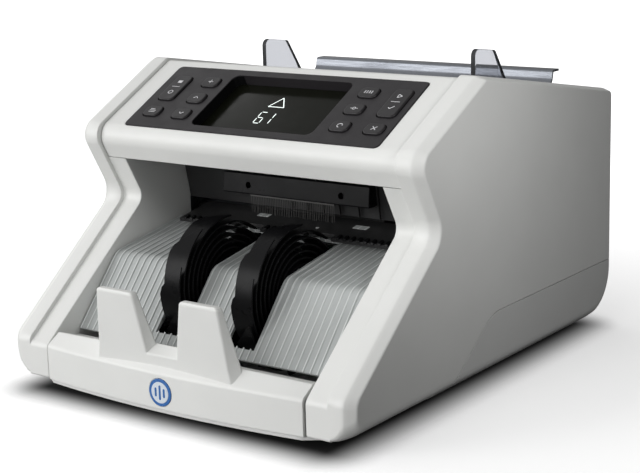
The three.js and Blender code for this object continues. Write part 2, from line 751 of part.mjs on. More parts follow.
// The ring of a belt pulled tight round pulleys that each have a centre and a radius.
function tightLoop(circles, margin) {
  const points = circles.flatMap(({ axis, radius }) => {
    const ring = [];
    for (let k = 0; k < 16; k += 1) {
      const angle = 2 * Math.PI * k / 16;
      const reach = radius + margin;
      ring.push([axis[0] + reach * Math.cos(angle), axis[1] + reach * Math.sin(angle)]);
    }
    return ring;
  });
  const sorted = points.sort((a, b) => a[0] - b[0] || a[1] - b[1]);
  const halfHull = (list) => {
    const hull = [];
    for (const p of list) {
      while (hull.length > 1) {
        const [a, b] = hull.slice(-2);
        const area = (b[0] - a[0]) * (p[1] - a[1]) - (b[1] - a[1]) * (p[0] - a[0]);
        if (area > 0) break;
        hull.pop();
      }
      hull.push(p);
    }
    return hull.slice(0, -1);
  };
  return toVectors([...halfHull(sorted), ...halfHull(sorted.slice().reverse())]);
}

function belt(x0, x1, circles) {
  const outer = extrudeX(tightLoop(circles, 1.5), x0, x1);
  return cut(outer, extrudeX(tightLoop(circles, 0.45), x0 - 1, x1 + 1));
}

const drivePulleys = [{ axis: motorAxis, radius: 7 }, { axis: drumAxis, radius: 14 }];
const feedPulleys = [
  { axis: feedAxis, radius: 10 }, { axis: drumAxis, radius: 12 }, { axis: transportAxis, radius: 8 },
];
const stackerPulleys = [{ axis: transportAxis, radius: 6 }, { axis: stackerAxis, radius: 14 }];

function motor() {
  const can = rod(46, 98, 20, motorAxis, 20);
  const flange = box(98, frameInner - gap, motorAxis[0] - 24, motorAxis[0] + 24, 22, 68);
  return cut(join(can, flange), rod(90, 110, 3.6, motorAxis));
}

function motorPulley() {
  const wheel = pulley(104, 110, 7, 2, motorAxis);
  return join(wheel, rod(92, 110, 3, motorAxis));
}

function drumPulley() {
  return join(pulley(104, 110, 14, 4.3, drumAxis), pulley(109.5, 116, 12, 4.3, drumAxis));
}

// ---------------------------------------------------------------- electrics
const inletX = -62;
const rockerX = -32;
const inletZ = 29;

function powerInlet() {
  const flange = box(inletX - 17, inletX + 17, rearY, rearY + 2, inletZ - 12, inletZ + 12);
  const body = box(inletX - 14, inletX + 14, 130, rearY + 0.5, inletZ - 10, inletZ + 10);
  const socket = box(inletX - 11.5, inletX + 11.5, 134, rearY + 5, inletZ - 7.5, inletZ + 7.5);
  const pins = [-6.5, 0, 6.5].map((x) => box(inletX + x - 1, inletX + x + 1, 133, 148, inletZ - 3, inletZ + 2));
  return join(cut(join(flange, body), socket), ...pins);
}

function powerRocker() {
  const outline = toVectors([
    [-9.6, -8], [-9.6, 0.6], [0, -0.6], [9.6, 0.6], [9.6, -8], [3, -8], [2, -10], [-2, -10], [-3, -8],
  ].map(([height, depth]) => [depth, height]));
  const rocker = extrudeX(outline, -6.8, 6.8);
  const tilt = new THREE.Matrix4().makeRotationX(THREE.MathUtils.degToRad(-6));
  tilt.setPosition(rockerX, rearY - 0.4, inletZ);
  return moved(rocker, tilt);
}

function mainBoard() {
  const board = box(-92, 30, 0, 112, 10, 11.6);
  const transformer = box(-88, -52, 66, 108, 11, 36);
  const heatSink = box(-20, 20, 80, 104, 11, 32);
  const capacitors = [-72, -48].map((x) => post([x, 30], 11, 35, 7, 7));
  const standoffs = [[-88, 5], [26, 5], [-46, 107], [26, 107]].map((centre) => post(centre, 5.2, 10.5, 3, 3, 8));
  return join(board, transformer, heatSink, ...capacitors, ...standoffs);
}

function foot(x, y) {
  return post([x, y], -standHeight, undersideZ, 8.5, 10, 20);
}

// ---------------------------------------------------------------- assembly
const machine = new THREE.Group();

function place(name, solid, material) {
  const flat = geometryOf(solid).toNonIndexed();
  flat.translate(0, 0, standHeight);
  flat.computeVertexNormals();
  const mesh = new THREE.Mesh(flat, material);
  mesh.name = name;
  machine.add(mesh);
}

const sideCover = rightSideCover();
place('side_cover_right', sideCover, whiteShell);
place('side_cover_left', mirrored(sideCover), whiteShell);
place('top_cover', topCover(), whiteShell);
place('front_lip', frontLip(), whiteShell);
place('rear_cover', rearCover(), whiteShell);
place('base_shell', baseShell(), greyShell);
place('badge', rodY(frontY - 0.3, frontY + 0.7, 8, badgeCentre, 20), blueBadge);
place('foot_front_left', foot(-footX, footFrontY), rubber);
place('foot_front_right', foot(footX, footFrontY), rubber);
place('foot_rear_left', foot(-footX, footRearY), rubber);
place('foot_rear_right', foot(footX, footRearY), rubber);

place('control_panel', controlPanel(), charcoal);
place('display_window', displayWindow(), displayGlass);
place('panel_board', panelBoard(), boardGreen);
keys.forEach((key) => place(key.name, keySolid(key), keyPlastic));

place('exit_wall', exitWall(), blackPlastic);
place('exit_plate', exitPlate(), blackPlastic);
place('brush_bar', brushBar(), blackPlastic);
place('brush', brushStrip(), rubber);
place('stacker_plate', stackerPlate(), ribbedPlastic);
place('stacker_wheel_right', stackerWheel(wheelNear, wheelFar), blackPlastic);
place('stacker_wheel_left', stackerWheel(-wheelFar, -wheelNear), blackPlastic);
place('stacker_shaft', stackerShaft(), shaftSteel);
place('stacker_pulley', pulley(-110, -104, 14, 3.3, stackerAxis), greyPlastic);

place('hopper_sheet', hopperSheet(), sheetSteel);
place('guide_right', rightGuide(), clearPlastic);
place('guide_left', leftGuide(), clearPlastic);
place('guide_pinion', guidePinion(), greyPlastic);
place('guide_rail', guideRail(), sheetSteel);

const frame = sideFrame();
place('frame_right', frame, sheetSteel);
place('frame_left', mirrored(frame), sheetSteel);
place('feed_shaft', feedShaft(), shaftSteel);
place('feed_tyre_left', feedTyre(-tyreFar, -tyreNear), rubber);
place('feed_tyre_right', feedTyre(tyreNear, tyreFar), rubber);
place('feed_pulley', pulley(110.5, 116, 10, 4.3, feedAxis), greyPlastic);
place('separator_drum', separatorDrum(), greyPlastic);
place('drum_pulley', drumPulley(), greyPlastic);
place('retard_roller', retardRoller(), rubber);
place('transport_roller', transportRoller(), rubber);
place('transport_pulley', pulley(110.5, 116, 8, 4, transportAxis), greyPlastic);
place('stacker_drive_pulley', pulley(-110, -104, 6, 4, transportAxis), greyPlastic);
place('pinch_roller', pinchRoller(), rubber);
place('motor', motor(), sheetSteel);
place('motor_pulley', motorPulley(), greyPlastic);
place('drive_belt', belt(105, 109, drivePulleys), beltRubber);
place('feed_belt', belt(111.5, 115, feedPulleys), beltRubber);
place('stacker_belt', belt(-109, -105, stackerPulleys), beltRubber);
place('main_board', mainBoard(), boardGreen);
place('power_inlet', powerInlet(), blackPlastic);
place('power_rocker', powerRocker(), blackPlastic);

export default machine;
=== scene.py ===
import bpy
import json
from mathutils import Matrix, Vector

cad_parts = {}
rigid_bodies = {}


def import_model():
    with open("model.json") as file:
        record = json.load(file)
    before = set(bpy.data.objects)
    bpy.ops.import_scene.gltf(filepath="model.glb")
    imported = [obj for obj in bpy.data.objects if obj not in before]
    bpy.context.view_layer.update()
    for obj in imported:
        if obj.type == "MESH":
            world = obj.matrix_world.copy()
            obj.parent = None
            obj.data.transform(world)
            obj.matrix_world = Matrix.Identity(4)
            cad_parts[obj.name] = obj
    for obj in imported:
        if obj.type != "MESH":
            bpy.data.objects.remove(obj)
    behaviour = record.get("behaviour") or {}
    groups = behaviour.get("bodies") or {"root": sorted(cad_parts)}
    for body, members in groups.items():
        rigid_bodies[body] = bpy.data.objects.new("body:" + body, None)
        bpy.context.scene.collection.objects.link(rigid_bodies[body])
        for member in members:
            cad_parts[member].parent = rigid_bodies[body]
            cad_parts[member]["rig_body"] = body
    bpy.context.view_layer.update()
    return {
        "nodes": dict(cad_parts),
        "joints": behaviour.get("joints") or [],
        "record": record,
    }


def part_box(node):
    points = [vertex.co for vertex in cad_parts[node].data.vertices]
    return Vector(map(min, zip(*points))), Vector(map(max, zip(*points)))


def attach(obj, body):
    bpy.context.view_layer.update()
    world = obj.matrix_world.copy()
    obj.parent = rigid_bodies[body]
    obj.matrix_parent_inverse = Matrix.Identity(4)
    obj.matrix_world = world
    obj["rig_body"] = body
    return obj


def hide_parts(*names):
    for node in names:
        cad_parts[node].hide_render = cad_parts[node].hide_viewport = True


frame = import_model()

import json
import math
import random

import bmesh
import bpy
from mathutils import Matrix, Vector
from mathutils.geometry import convex_hull_2d

# ---- driving dimensions, millimetres
# Heights are taken from a datum plane STAND above the ground, as in the CAD drawing.
MM = 0.001
STAND = 2.5
SKIN = 2.5
GAP = 0.3
HALF_WIDTH = 125
REAR_Y = 153.5
THROUGH_REAR = (140, 158)
FRONT_Y = -150.5
UNDERSIDE_Z = 2.5
FLOOR_Z = 4.5
LIP_HALF = 93.8
POCKET_HALF = 95
STRIP_INNER = 109
STRIP_OUTER = 119

SIDE_REAR_Y = 151.5
SIDE_CORNERS = [(-139, 27.5), (-51.7, 98.7), (-75.4, 141.9), (-6.5, 177.9), (SIDE_REAR_Y, 151.7)]
INNER_REACH = [4.6, 0.8, 1.6, 1.4, 0.4, 2, 0]
OUTER_REACH = [4.6, 3.2, 4.0, 3.4, 2.0, 2, 0]
FLUSH_REACH = [0] * 7
ARC_STEPS = [8, 6, 12, 14, 10, 5, 14]
INNER_RADII = [1.5, 5, 8, 10, 5, 3.5, 14]
MIDDLE_RADII = [4, 8, 12, 11, 5, 3.5, 14]
OUTER_RADII = [9, 8, 12, 11.7, 5, 3.5, 20]
FLUSH_RADII = [7.5, 10, 14, 10, 4.5, 3, 24]
# Height of the lower edge, [x, z], as it rolls in from the side face.
LOWER_EDGE = [(109, 4.8), (114, 5.4), (117, 6.2), (119, 7.0), (121.3, 8.4), (123.1, 9.8), (124.2, 11.2),
              (124.8, 12.5), (125, 13.8)]
# How far the outline is drawn in at the last stations before the side face.
ROLLED_EDGE = [(121.3, 0), (122.3, 0), (123.1, 0), (123.7, 0), (124.2, 0), (124.55, 0.05), (124.8, 0.2),
               (124.95, 0.5), (HALF_WIDTH, 0.9)]
COVER_LOWER_EDGE = 125.5
OPENING_HALF = 97
OPENING_WALL = 2.2
OPENING_FRONT = 36
SEAM_HEIGHT = 41.6

NOSE = Vector((-75.4, 141.9))
SLOPE_UP = Vector((68.9, 36.0)).normalized()
SLOPE_OUT = Vector((-SLOPE_UP.y, SLOPE_UP.x))
PANEL_TOP = 1.9
DISPLAY_HALF = 44.8
DISPLAY_LOW = 12.7
DISPLAY_HIGH = 64.5
DISPLAY_LEVEL = -4.6

SLOT_NEAR = 16.5
SLOT_FAR = 36.5
WHEEL_SLOTS = [(SLOT_NEAR, SLOT_FAR), (-SLOT_FAR, -SLOT_NEAR)]
WHEEL_RADIUS = 44.5
VANES = 10
VANE_ROOT = 8
VANE_SWEEP = 5.6
VANE_PHASE = 0.07
TIP_SHARE = 0.94
RIB_PITCH = 4.9
RIB_HALF = 0.9
RIB_RISE = 0.7
BRISTLES = 48
BRISTLE_RADIUS = 0.17
BADGE_CENTRE = (0, 14.8)


# ---- flat outlines
def corner_arc(before, corner, after, radius, steps):
    arriving = (corner - before).normalized()
    leaving = (after - corner).normalized()
    turn = math.atan2(arriving.x * leaving.y - arriving.y * leaving.x, arriving.dot(leaving))
    start = corner - arriving * (radius * math.tan(abs(turn) / 2))
    side = Vector((-arriving.y, arriving.x)) * math.copysign(radius, turn)
    centre = start + side
    return [centre + Matrix.Rotation(turn * k / steps, 2) @ -side for k in range(steps + 1)]


def rounded(points, radii, steps=6):
    corners = [Vector(point) for point in points]
    count = len(corners)
    outline = []
    for i, corner in enumerate(corners):
        radius = radii[i] if isinstance(radii, list) else radii
        corner_steps = steps[i] if isinstance(steps, list) else steps
        if radius == 0:
            outline.append(corner)
        else:
            outline += corner_arc(corners[i - 1], corner, corners[(i + 1) % count], radius, corner_steps)
    return outline


def rectangle(x0, x1, y0, y1, radius=0, steps=6):
    return rounded([(x0, y0), (x1, y0), (x1, y1), (x0, y1)], radius, steps)


def circle(radius, centre=(0, 0), segments=48):
    angles = [2 * math.pi * k / segments for k in range(segments)]
    return [Vector((centre[0] + radius * math.cos(a), centre[1] + radius * math.sin(a))) for a in angles]


def offset_edges(points, reaches):
    """Moves each edge of a clockwise polygon out by its own distance."""
    corners = [Vector(point) for point in points]
    count = len(corners)
    lines = []
    for i, corner in enumerate(corners):
        along = (corners[(i + 1) % count] - corner).normalized()
        lines.append((corner + Vector((-along.y, along.x)) * reaches[i], along))
    moved = []
    for i, (point, along) in enumerate(lines):
        last_point, last_along = lines[i - 1]
        distance = (point - last_point).cross(along) / last_along.cross(along)
        moved.append(last_point + last_along * distance)
    return moved


def anticlockwise(outline):
    area = sum(outline[i - 1].cross(outline[i]) for i in range(len(outline))) / 2
    return outline if area > 0 else outline[::-1]


def inset(outline, distance):
    """Moves an anticlockwise outline inwards, keeping its number of points."""
    count = len(outline)
    moved = []
    for i, point in enumerate(outline):
        before = (point - outline[i - 1]).normalized()
        after = (outline[(i + 1) % count] - point).normalized()
        first = Vector((-before.y, before.x))
        second = Vector((-after.y, after.x))
        moved.append(point + (first + second) * (distance / (1 + first.dot(second))))
    return moved


def open_path(line, radii, steps):
    """An open line with its inner corners rounded."""
    points = [Vector(point) for point in line]
    path = [points[0]]
    for i in range(1, len(points) - 1):
        path += corner_arc(points[i - 1], points[i], points[i + 1], radii[i], steps)
    return path + [points[-1]]


def bent_path(line, radii, steps=6):
    """A rounded open line as (point, normal to its right) pairs."""
    path = open_path(line, radii, steps)
    pairs = []
    for i, point in enumerate(path):
        along = (path[min(i + 1, len(path) - 1)] - path[max(i - 1, 0)]).normalized()
        pairs.append((point, Vector((along.y, -along.x))))
    return pairs


def sheet(line, thickness, radii, steps=6):
    """The outline of a sheet that follows a bent line, on its right side."""
    pairs = bent_path(line, radii, steps)
    near = [point for point, _ in pairs]
    far = [point + normal * thickness for point, normal in pairs]
    return near + far[::-1]


# ---- meshes
def row_point(point):
    x, y, z = point
    return (x * MM, y * MM, (z + STAND) * MM)


def linked(name, data):
    obj = bpy.data.objects.new(name, data)
    bpy.context.scene.collection.objects.link(obj)
    return obj


def new_object(name, points, faces):
    mesh = bpy.data.meshes.new(name)
    mesh.from_pydata([row_point(point) for point in points], [], faces)
    form = bmesh.new()
    form.from_mesh(mesh)
    bmesh.ops.remove_doubles(form, verts=form.verts, dist=1e-7)
    bmesh.ops.recalc_face_normals(form, faces=form.faces)
    form.to_mesh(mesh)
    form.free()
    return linked(name, mesh)


def loft(name, rings):
    """A closed solid through rings that all have the same number of points."""
    count = len(rings[0])
    faces = [tuple(range(count)), tuple(range((len(rings) - 1) * count, len(rings) * count))]
    for i in range(len(rings) - 1):
        for j in range(count):
            a, b = i * count + j, i * count + (j + 1) % count
            faces.append((a, b, b + count, a + count))
    return new_object(name, [point for ring in rings for point in ring], faces)


def along_x(u, v, w):
    return (w, u, v)


def along_y(u, v, w):
    return (u, w, v)


def along_z(u, v, w):
    return (u, v, w)


def on_slope(x, s, out):
    point = NOSE + SLOPE_UP * s + SLOPE_OUT * out
    return (x, point.x, point.y)


def edge_levels(low, high, edge, steps=3):
    """Levels from low to high with the inset each one needs for a rounded edge at both ends."""
    if edge == 0:
        return [(low, 0), (high, 0)]
    turns = [math.pi / 2 * k / steps for k in range(steps + 1)]
    lower = [(low + edge * (1 - math.cos(a)), edge * (1 - math.sin(a))) for a in turns]
    upper = [(low + high - level, amount) for level, amount in reversed(lower)]
    return lower + upper


def prism(name, outline, place, low, high, edge=0.0):
    outline = anticlockwise([Vector(point) for point in outline])
    rings = []
    for level, amount in edge_levels(low, high, edge):
        shape = inset(outline, amount) if amount > 0 else outline
        rings.append([place(point.x, point.y, level) for point in shape])
    return loft(name, rings)


def block(name, x0, x1, y0, y1, z0, z1, edge=0.0):
    return prism(name, rectangle(x0, x1, y0, y1, edge, 3), along_z, z0, z1, edge)


def lathe(name, profile, axis, place=along_x, soften=0.3, segments=64):
    """A turned piece. The profile is (distance along, radius) from one end to the other."""
    rings = []
    for along, radius in open_path(profile, [soften] * len(profile), 2):
        rings.append([place(point.x, point.y, along) for point in circle(radius, axis, segments)])
    return loft(name, rings)


def rod(name, low, high, radius, axis, place=along_x, soften=0.3, segments=64):
    ends = [(low, radius - soften * 2), (low, radius), (high, radius), (high, radius - soften * 2)]
    return lathe(name, ends, axis, place, soften, segments)


def modify(obj, kind, **settings):
    change = obj.modifiers.new(kind.lower(), kind)
    for key, value in settings.items():
        setattr(change, key, value)


def settle(obj):
    """Applies an object's modifiers to its mesh."""
    graph = bpy.context.evaluated_depsgraph_get()
    mesh = bpy.data.meshes.new_from_object(obj.evaluated_get(graph))
    obj.modifiers.clear()
    obj.data = mesh


def combine(obj, operation, *others):
    for other in others:
        modify(obj, "BOOLEAN", operation=operation, solver="EXACT", object=other)
    settle(obj)
    for other in others:
        bpy.data.objects.remove(other)
    return obj


def cut(obj, *others):
    return combine(obj, "DIFFERENCE", *others)


def join(obj, *others):
    return combine(obj, "UNION", *others)


def keep(obj, region):
    return combine(obj, "INTERSECT", region)


def merge(name, objects):
    """Puts separate closed forms into one object."""
    form = bmesh.new()
    for obj in objects:
        form.from_mesh(obj.data)
        bpy.data.objects.remove(obj)
    mesh = bpy.data.meshes.new(name)
    form.to_mesh(mesh)
    form.free()
    return linked(name, mesh)


def mirrored(obj, name):
    mesh = obj.data.copy()
    mesh.transform(Matrix.Scale(-1, 4, (1, 0, 0)))
    mesh.flip_normals()
    return linked(name, mesh)


def smooth(obj, angle):
    mesh = obj.data
    mesh.polygons.foreach_set("use_smooth", [True] * len(mesh.polygons))
    mesh.set_sharp_from_angle(angle=math.radians(angle))
    modify(obj, "WEIGHTED_NORMAL", keep_sharp=True)


# ---- materials
MATERIALS = {}


def scaled(color, factor):
    return tuple(min(1.0, channel * factor) for channel in color)


class Nodes:
    """A node tree with short calls that add to it."""

    def __init__(self, tree):
        self.tree = tree

    def node(self, kind, **inputs):
        made = self.tree.nodes.new(kind)
        for key, value in inputs.items():
            self.feed(made.inputs[key], value)
        return made

    def feed(self, socket, value):
        if isinstance(value, bpy.types.NodeSocket):
            self.tree.links.new(value, socket)
        else:
            socket.default_value = value

    def mapped(self, value, *limits, interpolation="LINEAR"):
        """Maps a value from the first pair of limits onto the second pair."""
        made = self.node("ShaderNodeMapRange", Value=value)
        made.interpolation_type = interpolation
        for key, number in zip(("From Min", "From Max", "To Min", "To Max"), limits):
            made.inputs[key].default_value = number
        return made.outputs[0]

    def spread(self, value, low, high):
        """Maps the middle half of a 0 to 1 value onto the range low to high."""
        return self.mapped(value, 0.25, 0.75, low, high)

    def maths(self, operation, *values, kind="ShaderNodeMath", output=0):
        made = self.node(kind)
        made.operation = operation
        for socket, value in zip(made.inputs, values):
            self.feed(socket, value)
        return made.outputs[output]

    def vector_maths(self, operation, *values):
        """A vector operation whose result is a number."""
        return self.maths(operation, *values, kind="ShaderNodeVectorMath", output="Value")

    def tint(self, factor, first, second):
        made = self.node("ShaderNodeMix")
        made.data_type = "RGBA"
        self.feed(made.inputs[0], factor)
        for socket, color in ((made.inputs[6], first), (made.inputs[7], second)):
            self.feed(socket, (*color, 1) if isinstance(color, tuple) else color)
        return made.outputs[2]

    def seen_directly(self):
        """1 for what the camera sees, straight or through clear plastic, and 0 for reflections."""
        rays = self.node("ShaderNodeLightPath").outputs
        return self.maths("MAXIMUM", rays["Is Camera Ray"], rays["Is Transmission Ray"])


class Shader(Nodes):
    """A Principled material. It joins MATERIALS under its name."""

    def __init__(self, name, **inputs):
        material = bpy.data.materials.new(name)
        material.use_nodes = True
        super().__init__(material.node_tree)
        self.surface = self.tree.nodes["Principled BSDF"]
        self.coordinates = self.node("ShaderNodeTexCoord").outputs["Object"]
        self.drive(**inputs)
        MATERIALS[name] = material

    def drive(self, **values):
        """Feeds the surface's inputs. An underscore in a name stands for a space."""
        for key, value in values.items():
            self.feed(self.surface.inputs[key.replace("_", " ")], value)

    def noise(self, size, detail=2.0, stretch=(1, 1, 1)):
        """Noise whose features are about size millimetres across."""
        mapping = self.node("ShaderNodeMapping", Vector=self.coordinates, Scale=stretch)
        scale = 1 / (size * MM)
        made = self.node("ShaderNodeTexNoise", Vector=mapping.outputs[0], Scale=scale, Detail=detail)
        return made.outputs["Fac"]

    def shades(self, factor, color, low, high):
        """One colour from low to high times its brightness."""
        return self.tint(factor, scaled(color, low), scaled(color, high))

    def edges(self, width):
        """(rounded normal, how near a sharp edge a point is)."""
        bevel = self.node("ShaderNodeBevel", Radius=width * MM)
        bevel.samples = 4
        normal = self.node("ShaderNodeNewGeometry").outputs["Normal"]
        facing = self.vector_maths("DOT_PRODUCT", bevel.outputs[0], normal)
        return bevel.outputs[0], self.mapped(facing, 1.0, 0.75, 0.0, 1.0)

    def bump(self, height, depth, normal=None):
        bump = self.node("ShaderNodeBump", Height=height, Strength=1.0, Distance=depth * MM)
        if normal is not None:
            self.feed(bump.inputs["Normal"], normal)
        return bump.outputs[0]


def moulded(name, color, roughness, grain=0.5, depth=0.012, edge=0.5, wear=1.12, **inputs):
    """Moulded plastic: fine spark-eroded grain, slow colour drift and slightly polished edges."""
    shader = Shader(name, **inputs)
    normal, nearness = shader.edges(edge)
    drift = shader.spread(shader.noise(38, 3.0), 0.0, 1.0)
    base = shader.tint(nearness, shader.shades(drift, color, 0.975, 1.02), scaled(color, wear))
    scuffs = shader.spread(shader.noise(9, 5.0), roughness - 0.05, roughness + 0.06)
    relief = shader.bump(shader.noise(grain, 3.0), depth, normal)
    shader.drive(Base_Color=base, Roughness=scuffs, Normal=relief)


def brushed(name, color, roughness, stretch):
    """Metal with fine scratches along its rolling direction."""
    shader = Shader(name, Metallic=1.0, Anisotropic=0.4)
    normal, _ = shader.edges(0.3)
    lines = shader.noise(0.5, 4.0, stretch)
    blotches = shader.spread(shader.noise(22, 4.0), 0.0, 1.0)
    polish = shader.spread(lines, roughness - 0.07, roughness + 0.1)
    relief = shader.bump(lines, 0.01, normal)
    shader.drive(Base_Color=shader.shades(blotches, color, 0.93, 1.04), Roughness=polish, Normal=relief)


def ribbed(name, color, rib_highlight_color):
    """Milky plastic whose raised ribs carry a painted highlight: their crests are coloured lighter where
    they would catch the light.
    """
    shader = Shader(name, Coat_Weight=0.15, Roughness=0.32)
    normal, _ = shader.edges(0.2)
    parts = shader.node("ShaderNodeSeparateXYZ", Vector=shader.coordinates)
    turns = shader.maths("DIVIDE", parts.outputs[0], RIB_PITCH * MM)
    offset = shader.maths("ABSOLUTE", shader.maths("SUBTRACT", turns, shader.maths("ROUND", turns)))
    # Painted highlight: the colour lightens along each rib's crest.
    rib_highlight = shader.mapped(offset, 0.12, 0.03, 0.0, 1.0)
    valley = shader.shades(shader.spread(shader.noise(30, 3.0), 0.0, 1.0), color, 0.93, 1.05)
    relief = shader.bump(shader.noise(0.6, 3.0), 0.008, normal)
    shader.drive(Base_Color=shader.tint(rib_highlight, valley, rib_highlight_color), Normal=relief)


def clear(name, color):
    """Clear polished plastic with faint haze, and painted shade on its edges: edge faces and sharp edges
    are coloured dark and let less light through, standing in for the dark look where light runs along the
    sheet.
    """
    shader = Shader(name, IOR=1.12)
    normal, nearness = shader.edges(0.5)
    haze = shader.spread(shader.noise(14, 4.0), 0.02, 0.08)
    face_normal = shader.node("ShaderNodeNewGeometry").outputs["Normal"]
    facing = shader.node("ShaderNodeSeparateXYZ", Vector=face_normal)
    across = shader.maths("LESS_THAN", shader.maths("ABSOLUTE", facing.outputs[0]), 0.5)
    # Painted shade: edge faces and faces near sharp edges are darkened and made less clear.
    edge = shader.maths("MAXIMUM", across, nearness)
    through = shader.maths("SUBTRACT", 0.96, shader.maths("MULTIPLY", edge, 0.9))
    relief = shader.bump(shader.noise(3.0), 0.004, normal)
    base = shader.shades(edge, color, 1.0, 0.1)
    shader.drive(Base_Color=base, Transmission_Weight=through, Roughness=haze, Normal=relief)


def board(name, color):
    """Solder mask with lighter tracks."""
    shader = Shader(name, Roughness=0.4, Coat_Weight=0.3)
    tracks = shader.spread(shader.noise(2.5, 0.0, (1, 0.25, 1)), 0.0, 1.0)
    shader.drive(Base_Color=shader.shades(tracks, color, 1.0, 1.7), Normal=shader.bump(tracks, 0.05))


def lit(name, color, strength):
    """A glowing display segment with a fine raster."""
    shader = Shader(name, Roughness=0.4)
    raster = shader.spread(shader.noise(0.3), 0.85, 1.1)
    shader.drive(Base_Color=shader.shades(raster, color, 0.8, 1.0), Emission_Color=(*color, 1),
                 Emission_Strength=strength)


moulded("white_shell", (0.80, 0.805, 0.785), 0.42, edge=0.6, wear=1.06)
moulded("grey_base", (0.72, 0.725, 0.71), 0.46, edge=0.6, wear=1.06)
moulded("badge_blue", (0.045, 0.16, 0.45), 0.25, Coat_Weight=0.6)
moulded("rubber", (0.018, 0.018, 0.018), 0.75, grain=0.8, depth=0.05, wear=1.8)
moulded("brush_fibre", (0.09, 0.088, 0.085), 0.4, grain=0.3, edge=0.05, wear=1.3)
moulded("panel_charcoal", (0.0185, 0.0165, 0.0185), 0.45, grain=0.35, edge=0.35, wear=1.5,
        Specular_IOR_Level=0.3)
moulded("display_glass", (0.006, 0.0065, 0.004), 0.16, depth=0.001, wear=1.3, Specular_IOR_Level=0.06)
board("board_green", (0.012, 0.11, 0.045))
moulded("key_plastic", (0.018, 0.0165, 0.018), 0.42, grain=0.3, edge=0.3, wear=1.6,
        Specular_IOR_Level=0.35)
moulded("black_plastic", (0.005, 0.005, 0.0055), 0.3, grain=0.4, edge=0.3, wear=2.5,
        Specular_IOR_Level=0.1)
moulded("satin_black", (0.02, 0.02, 0.0205), 0.42, grain=0.4, edge=0.3, wear=1.8,
        Specular_IOR_Level=0.4)
ribbed("ribbed_plastic", (0.44, 0.46, 0.455), (0.7, 0.725, 0.715))
brushed("shaft_steel", (0.72, 0.73, 0.74), 0.28, (0.3, 1, 1))
moulded("grey_plastic", (0.26, 0.27, 0.28), 0.45, wear=1.3)
brushed("sheet_steel", (0.19, 0.2, 0.22), 0.3, (0.04, 1, 1))
clear("clear_plastic", (0.48, 0.49, 0.52))
moulded("belt_rubber", (0.012, 0.012, 0.012), 0.7, grain=0.6, depth=0.04, wear=1.8)
moulded("print_white", (0.74, 0.74, 0.76), 0.5, grain=0.25)
lit("display_lit", (0.85, 0.93, 0.9), 0.75)
moulded("badge_face", (0.72, 0.78, 0.86), 0.3, Coat_Weight=0.5)
SLOT_OF = {part["node"]: part["material_slot"] for part in frame["record"]["subparts"]}


# ---- placing pieces
SHARP_ANGLE = 32


def finish_piece(obj, body, slot, material=None, angle=SHARP_ANGLE):
    obj.data.materials.clear()
    obj.data.materials.append(MATERIALS[material or slot])
    smooth(obj, angle)
    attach(obj, body)


def stand_for(obj, node, angle=SHARP_ANGLE, material=None):
    """The object takes the place of a CAD node, on the node's body and with its material slot."""
    obj.name = node + "_look"
    finish_piece(obj, frame["nodes"][node]["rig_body"], SLOT_OF[node], material, angle)
    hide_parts(node)


def detail(obj, near_node, material, slot=None):
    """A small extra piece that rides with the CAD node it sits on."""
    finish_piece(obj, frame["nodes"][near_node]["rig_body"], slot or SLOT_OF[near_node], material)


def dress(node, edge):
    """A CAD node that stays: its flat faces are joined up and its edges are softened."""
    obj = frame["nodes"][node]
    obj.data.materials.clear()
    obj.data.materials.append(MATERIALS[SLOT_OF[node]])
    obj.data.polygons.foreach_set("use_smooth", [True] * len(obj.data.polygons))
    modify(obj, "WELD", merge_threshold=1e-6)
    modify(obj, "DECIMATE", decimate_type="DISSOLVE", angle_limit=math.radians(0.5))
    modify(obj, "BEVEL", width=edge * MM, segments=2, limit_method="ANGLE", angle_limit=math.radians(40))
    modify(obj, "EDGE_SPLIT", split_angle=math.radians(35))


def centre_of(node):
    """(x, y, z) of the middle of a CAD node's box, in the drawing's millimetres."""
    low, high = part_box(node)
    return ((low.x + high.x) / 2 / MM, (low.y + high.y) / 2 / MM, (low.z + high.z) / 2 / MM - STAND)


def axis_of(joint):
    """(y, z) of a turning joint's axis, in the drawing's millimetres."""
    place = next(j["pos_m"] for j in frame["joints"] if j["name"] == joint)
    return (place[1] / MM, place[2] / MM - STAND)


STACKER_AXIS = axis_of("stacker_spin")
TRANSPORT_AXIS = axis_of("transport_spin")
PINCH_AXIS = axis_of("pinch_spin")
DRUM_AXIS = axis_of("drum_spin")
RETARD_AXIS = axis_of("retard_spin")
FEED_AXIS = axis_of("feed_spin")
MOTOR_AXIS = axis_of("motor_spin")


# ---- housing
def body_ring(x, reach, radii, bottom, amount=0.0):
    reaches = [distance - amount for distance in reach]
    corners = [(SIDE_CORNERS[0][0], bottom), *SIDE_CORNERS, (SIDE_REAR_Y, bottom)]
    outline = rounded(offset_edges(corners, reaches), radii, ARC_STEPS)
    return [(x, point.x, point.y) for point in outline]


def mix_lists(first, second, share):
    return [a + (b - a) * share for a, b in zip(first, second)]


def between(stations, x):
    """The stations on each side of x, and how far x lies from the first to the second."""
    for near, far in zip(stations, stations[1:]):
        if x <= far[0]:
            break
    return near, far, (x - near[0]) / (far[0] - near[0])


def strip_ring(x, amount, lower_edge=LOWER_EDGE):
    """The raised strip and chamfer at x, from the strip's inner edge to the side face."""
    near, far, share = between([
        (STRIP_INNER + 0.1, OUTER_REACH, INNER_RADII),
        (STRIP_INNER + 5, OUTER_REACH, MIDDLE_RADII),
        (STRIP_OUTER, OUTER_REACH, OUTER_RADII),
        (HALF_WIDTH, FLUSH_REACH, FLUSH_RADII),
    ], x)
    reach = mix_lists(near[1], far[1], share)
    radii = mix_lists(near[2], far[2], share)
    low, high, share = between(lower_edge, x)
    return body_ring(x, reach, radii, low[1] + (high[1] - low[1]) * share, amount)


def below_seam(rise):
    """Everything under the line where the base meets the side covers, raised by rise."""
    top = SEAM_HEIGHT + rise
    points = [(-59.3, -20), (-59.3, rise), (-1.6, top), (180, top), (180, -20)]
    return prism("below", rounded(points, [0, 0, 30, 0, 0], 14), along_x, -130, 130)


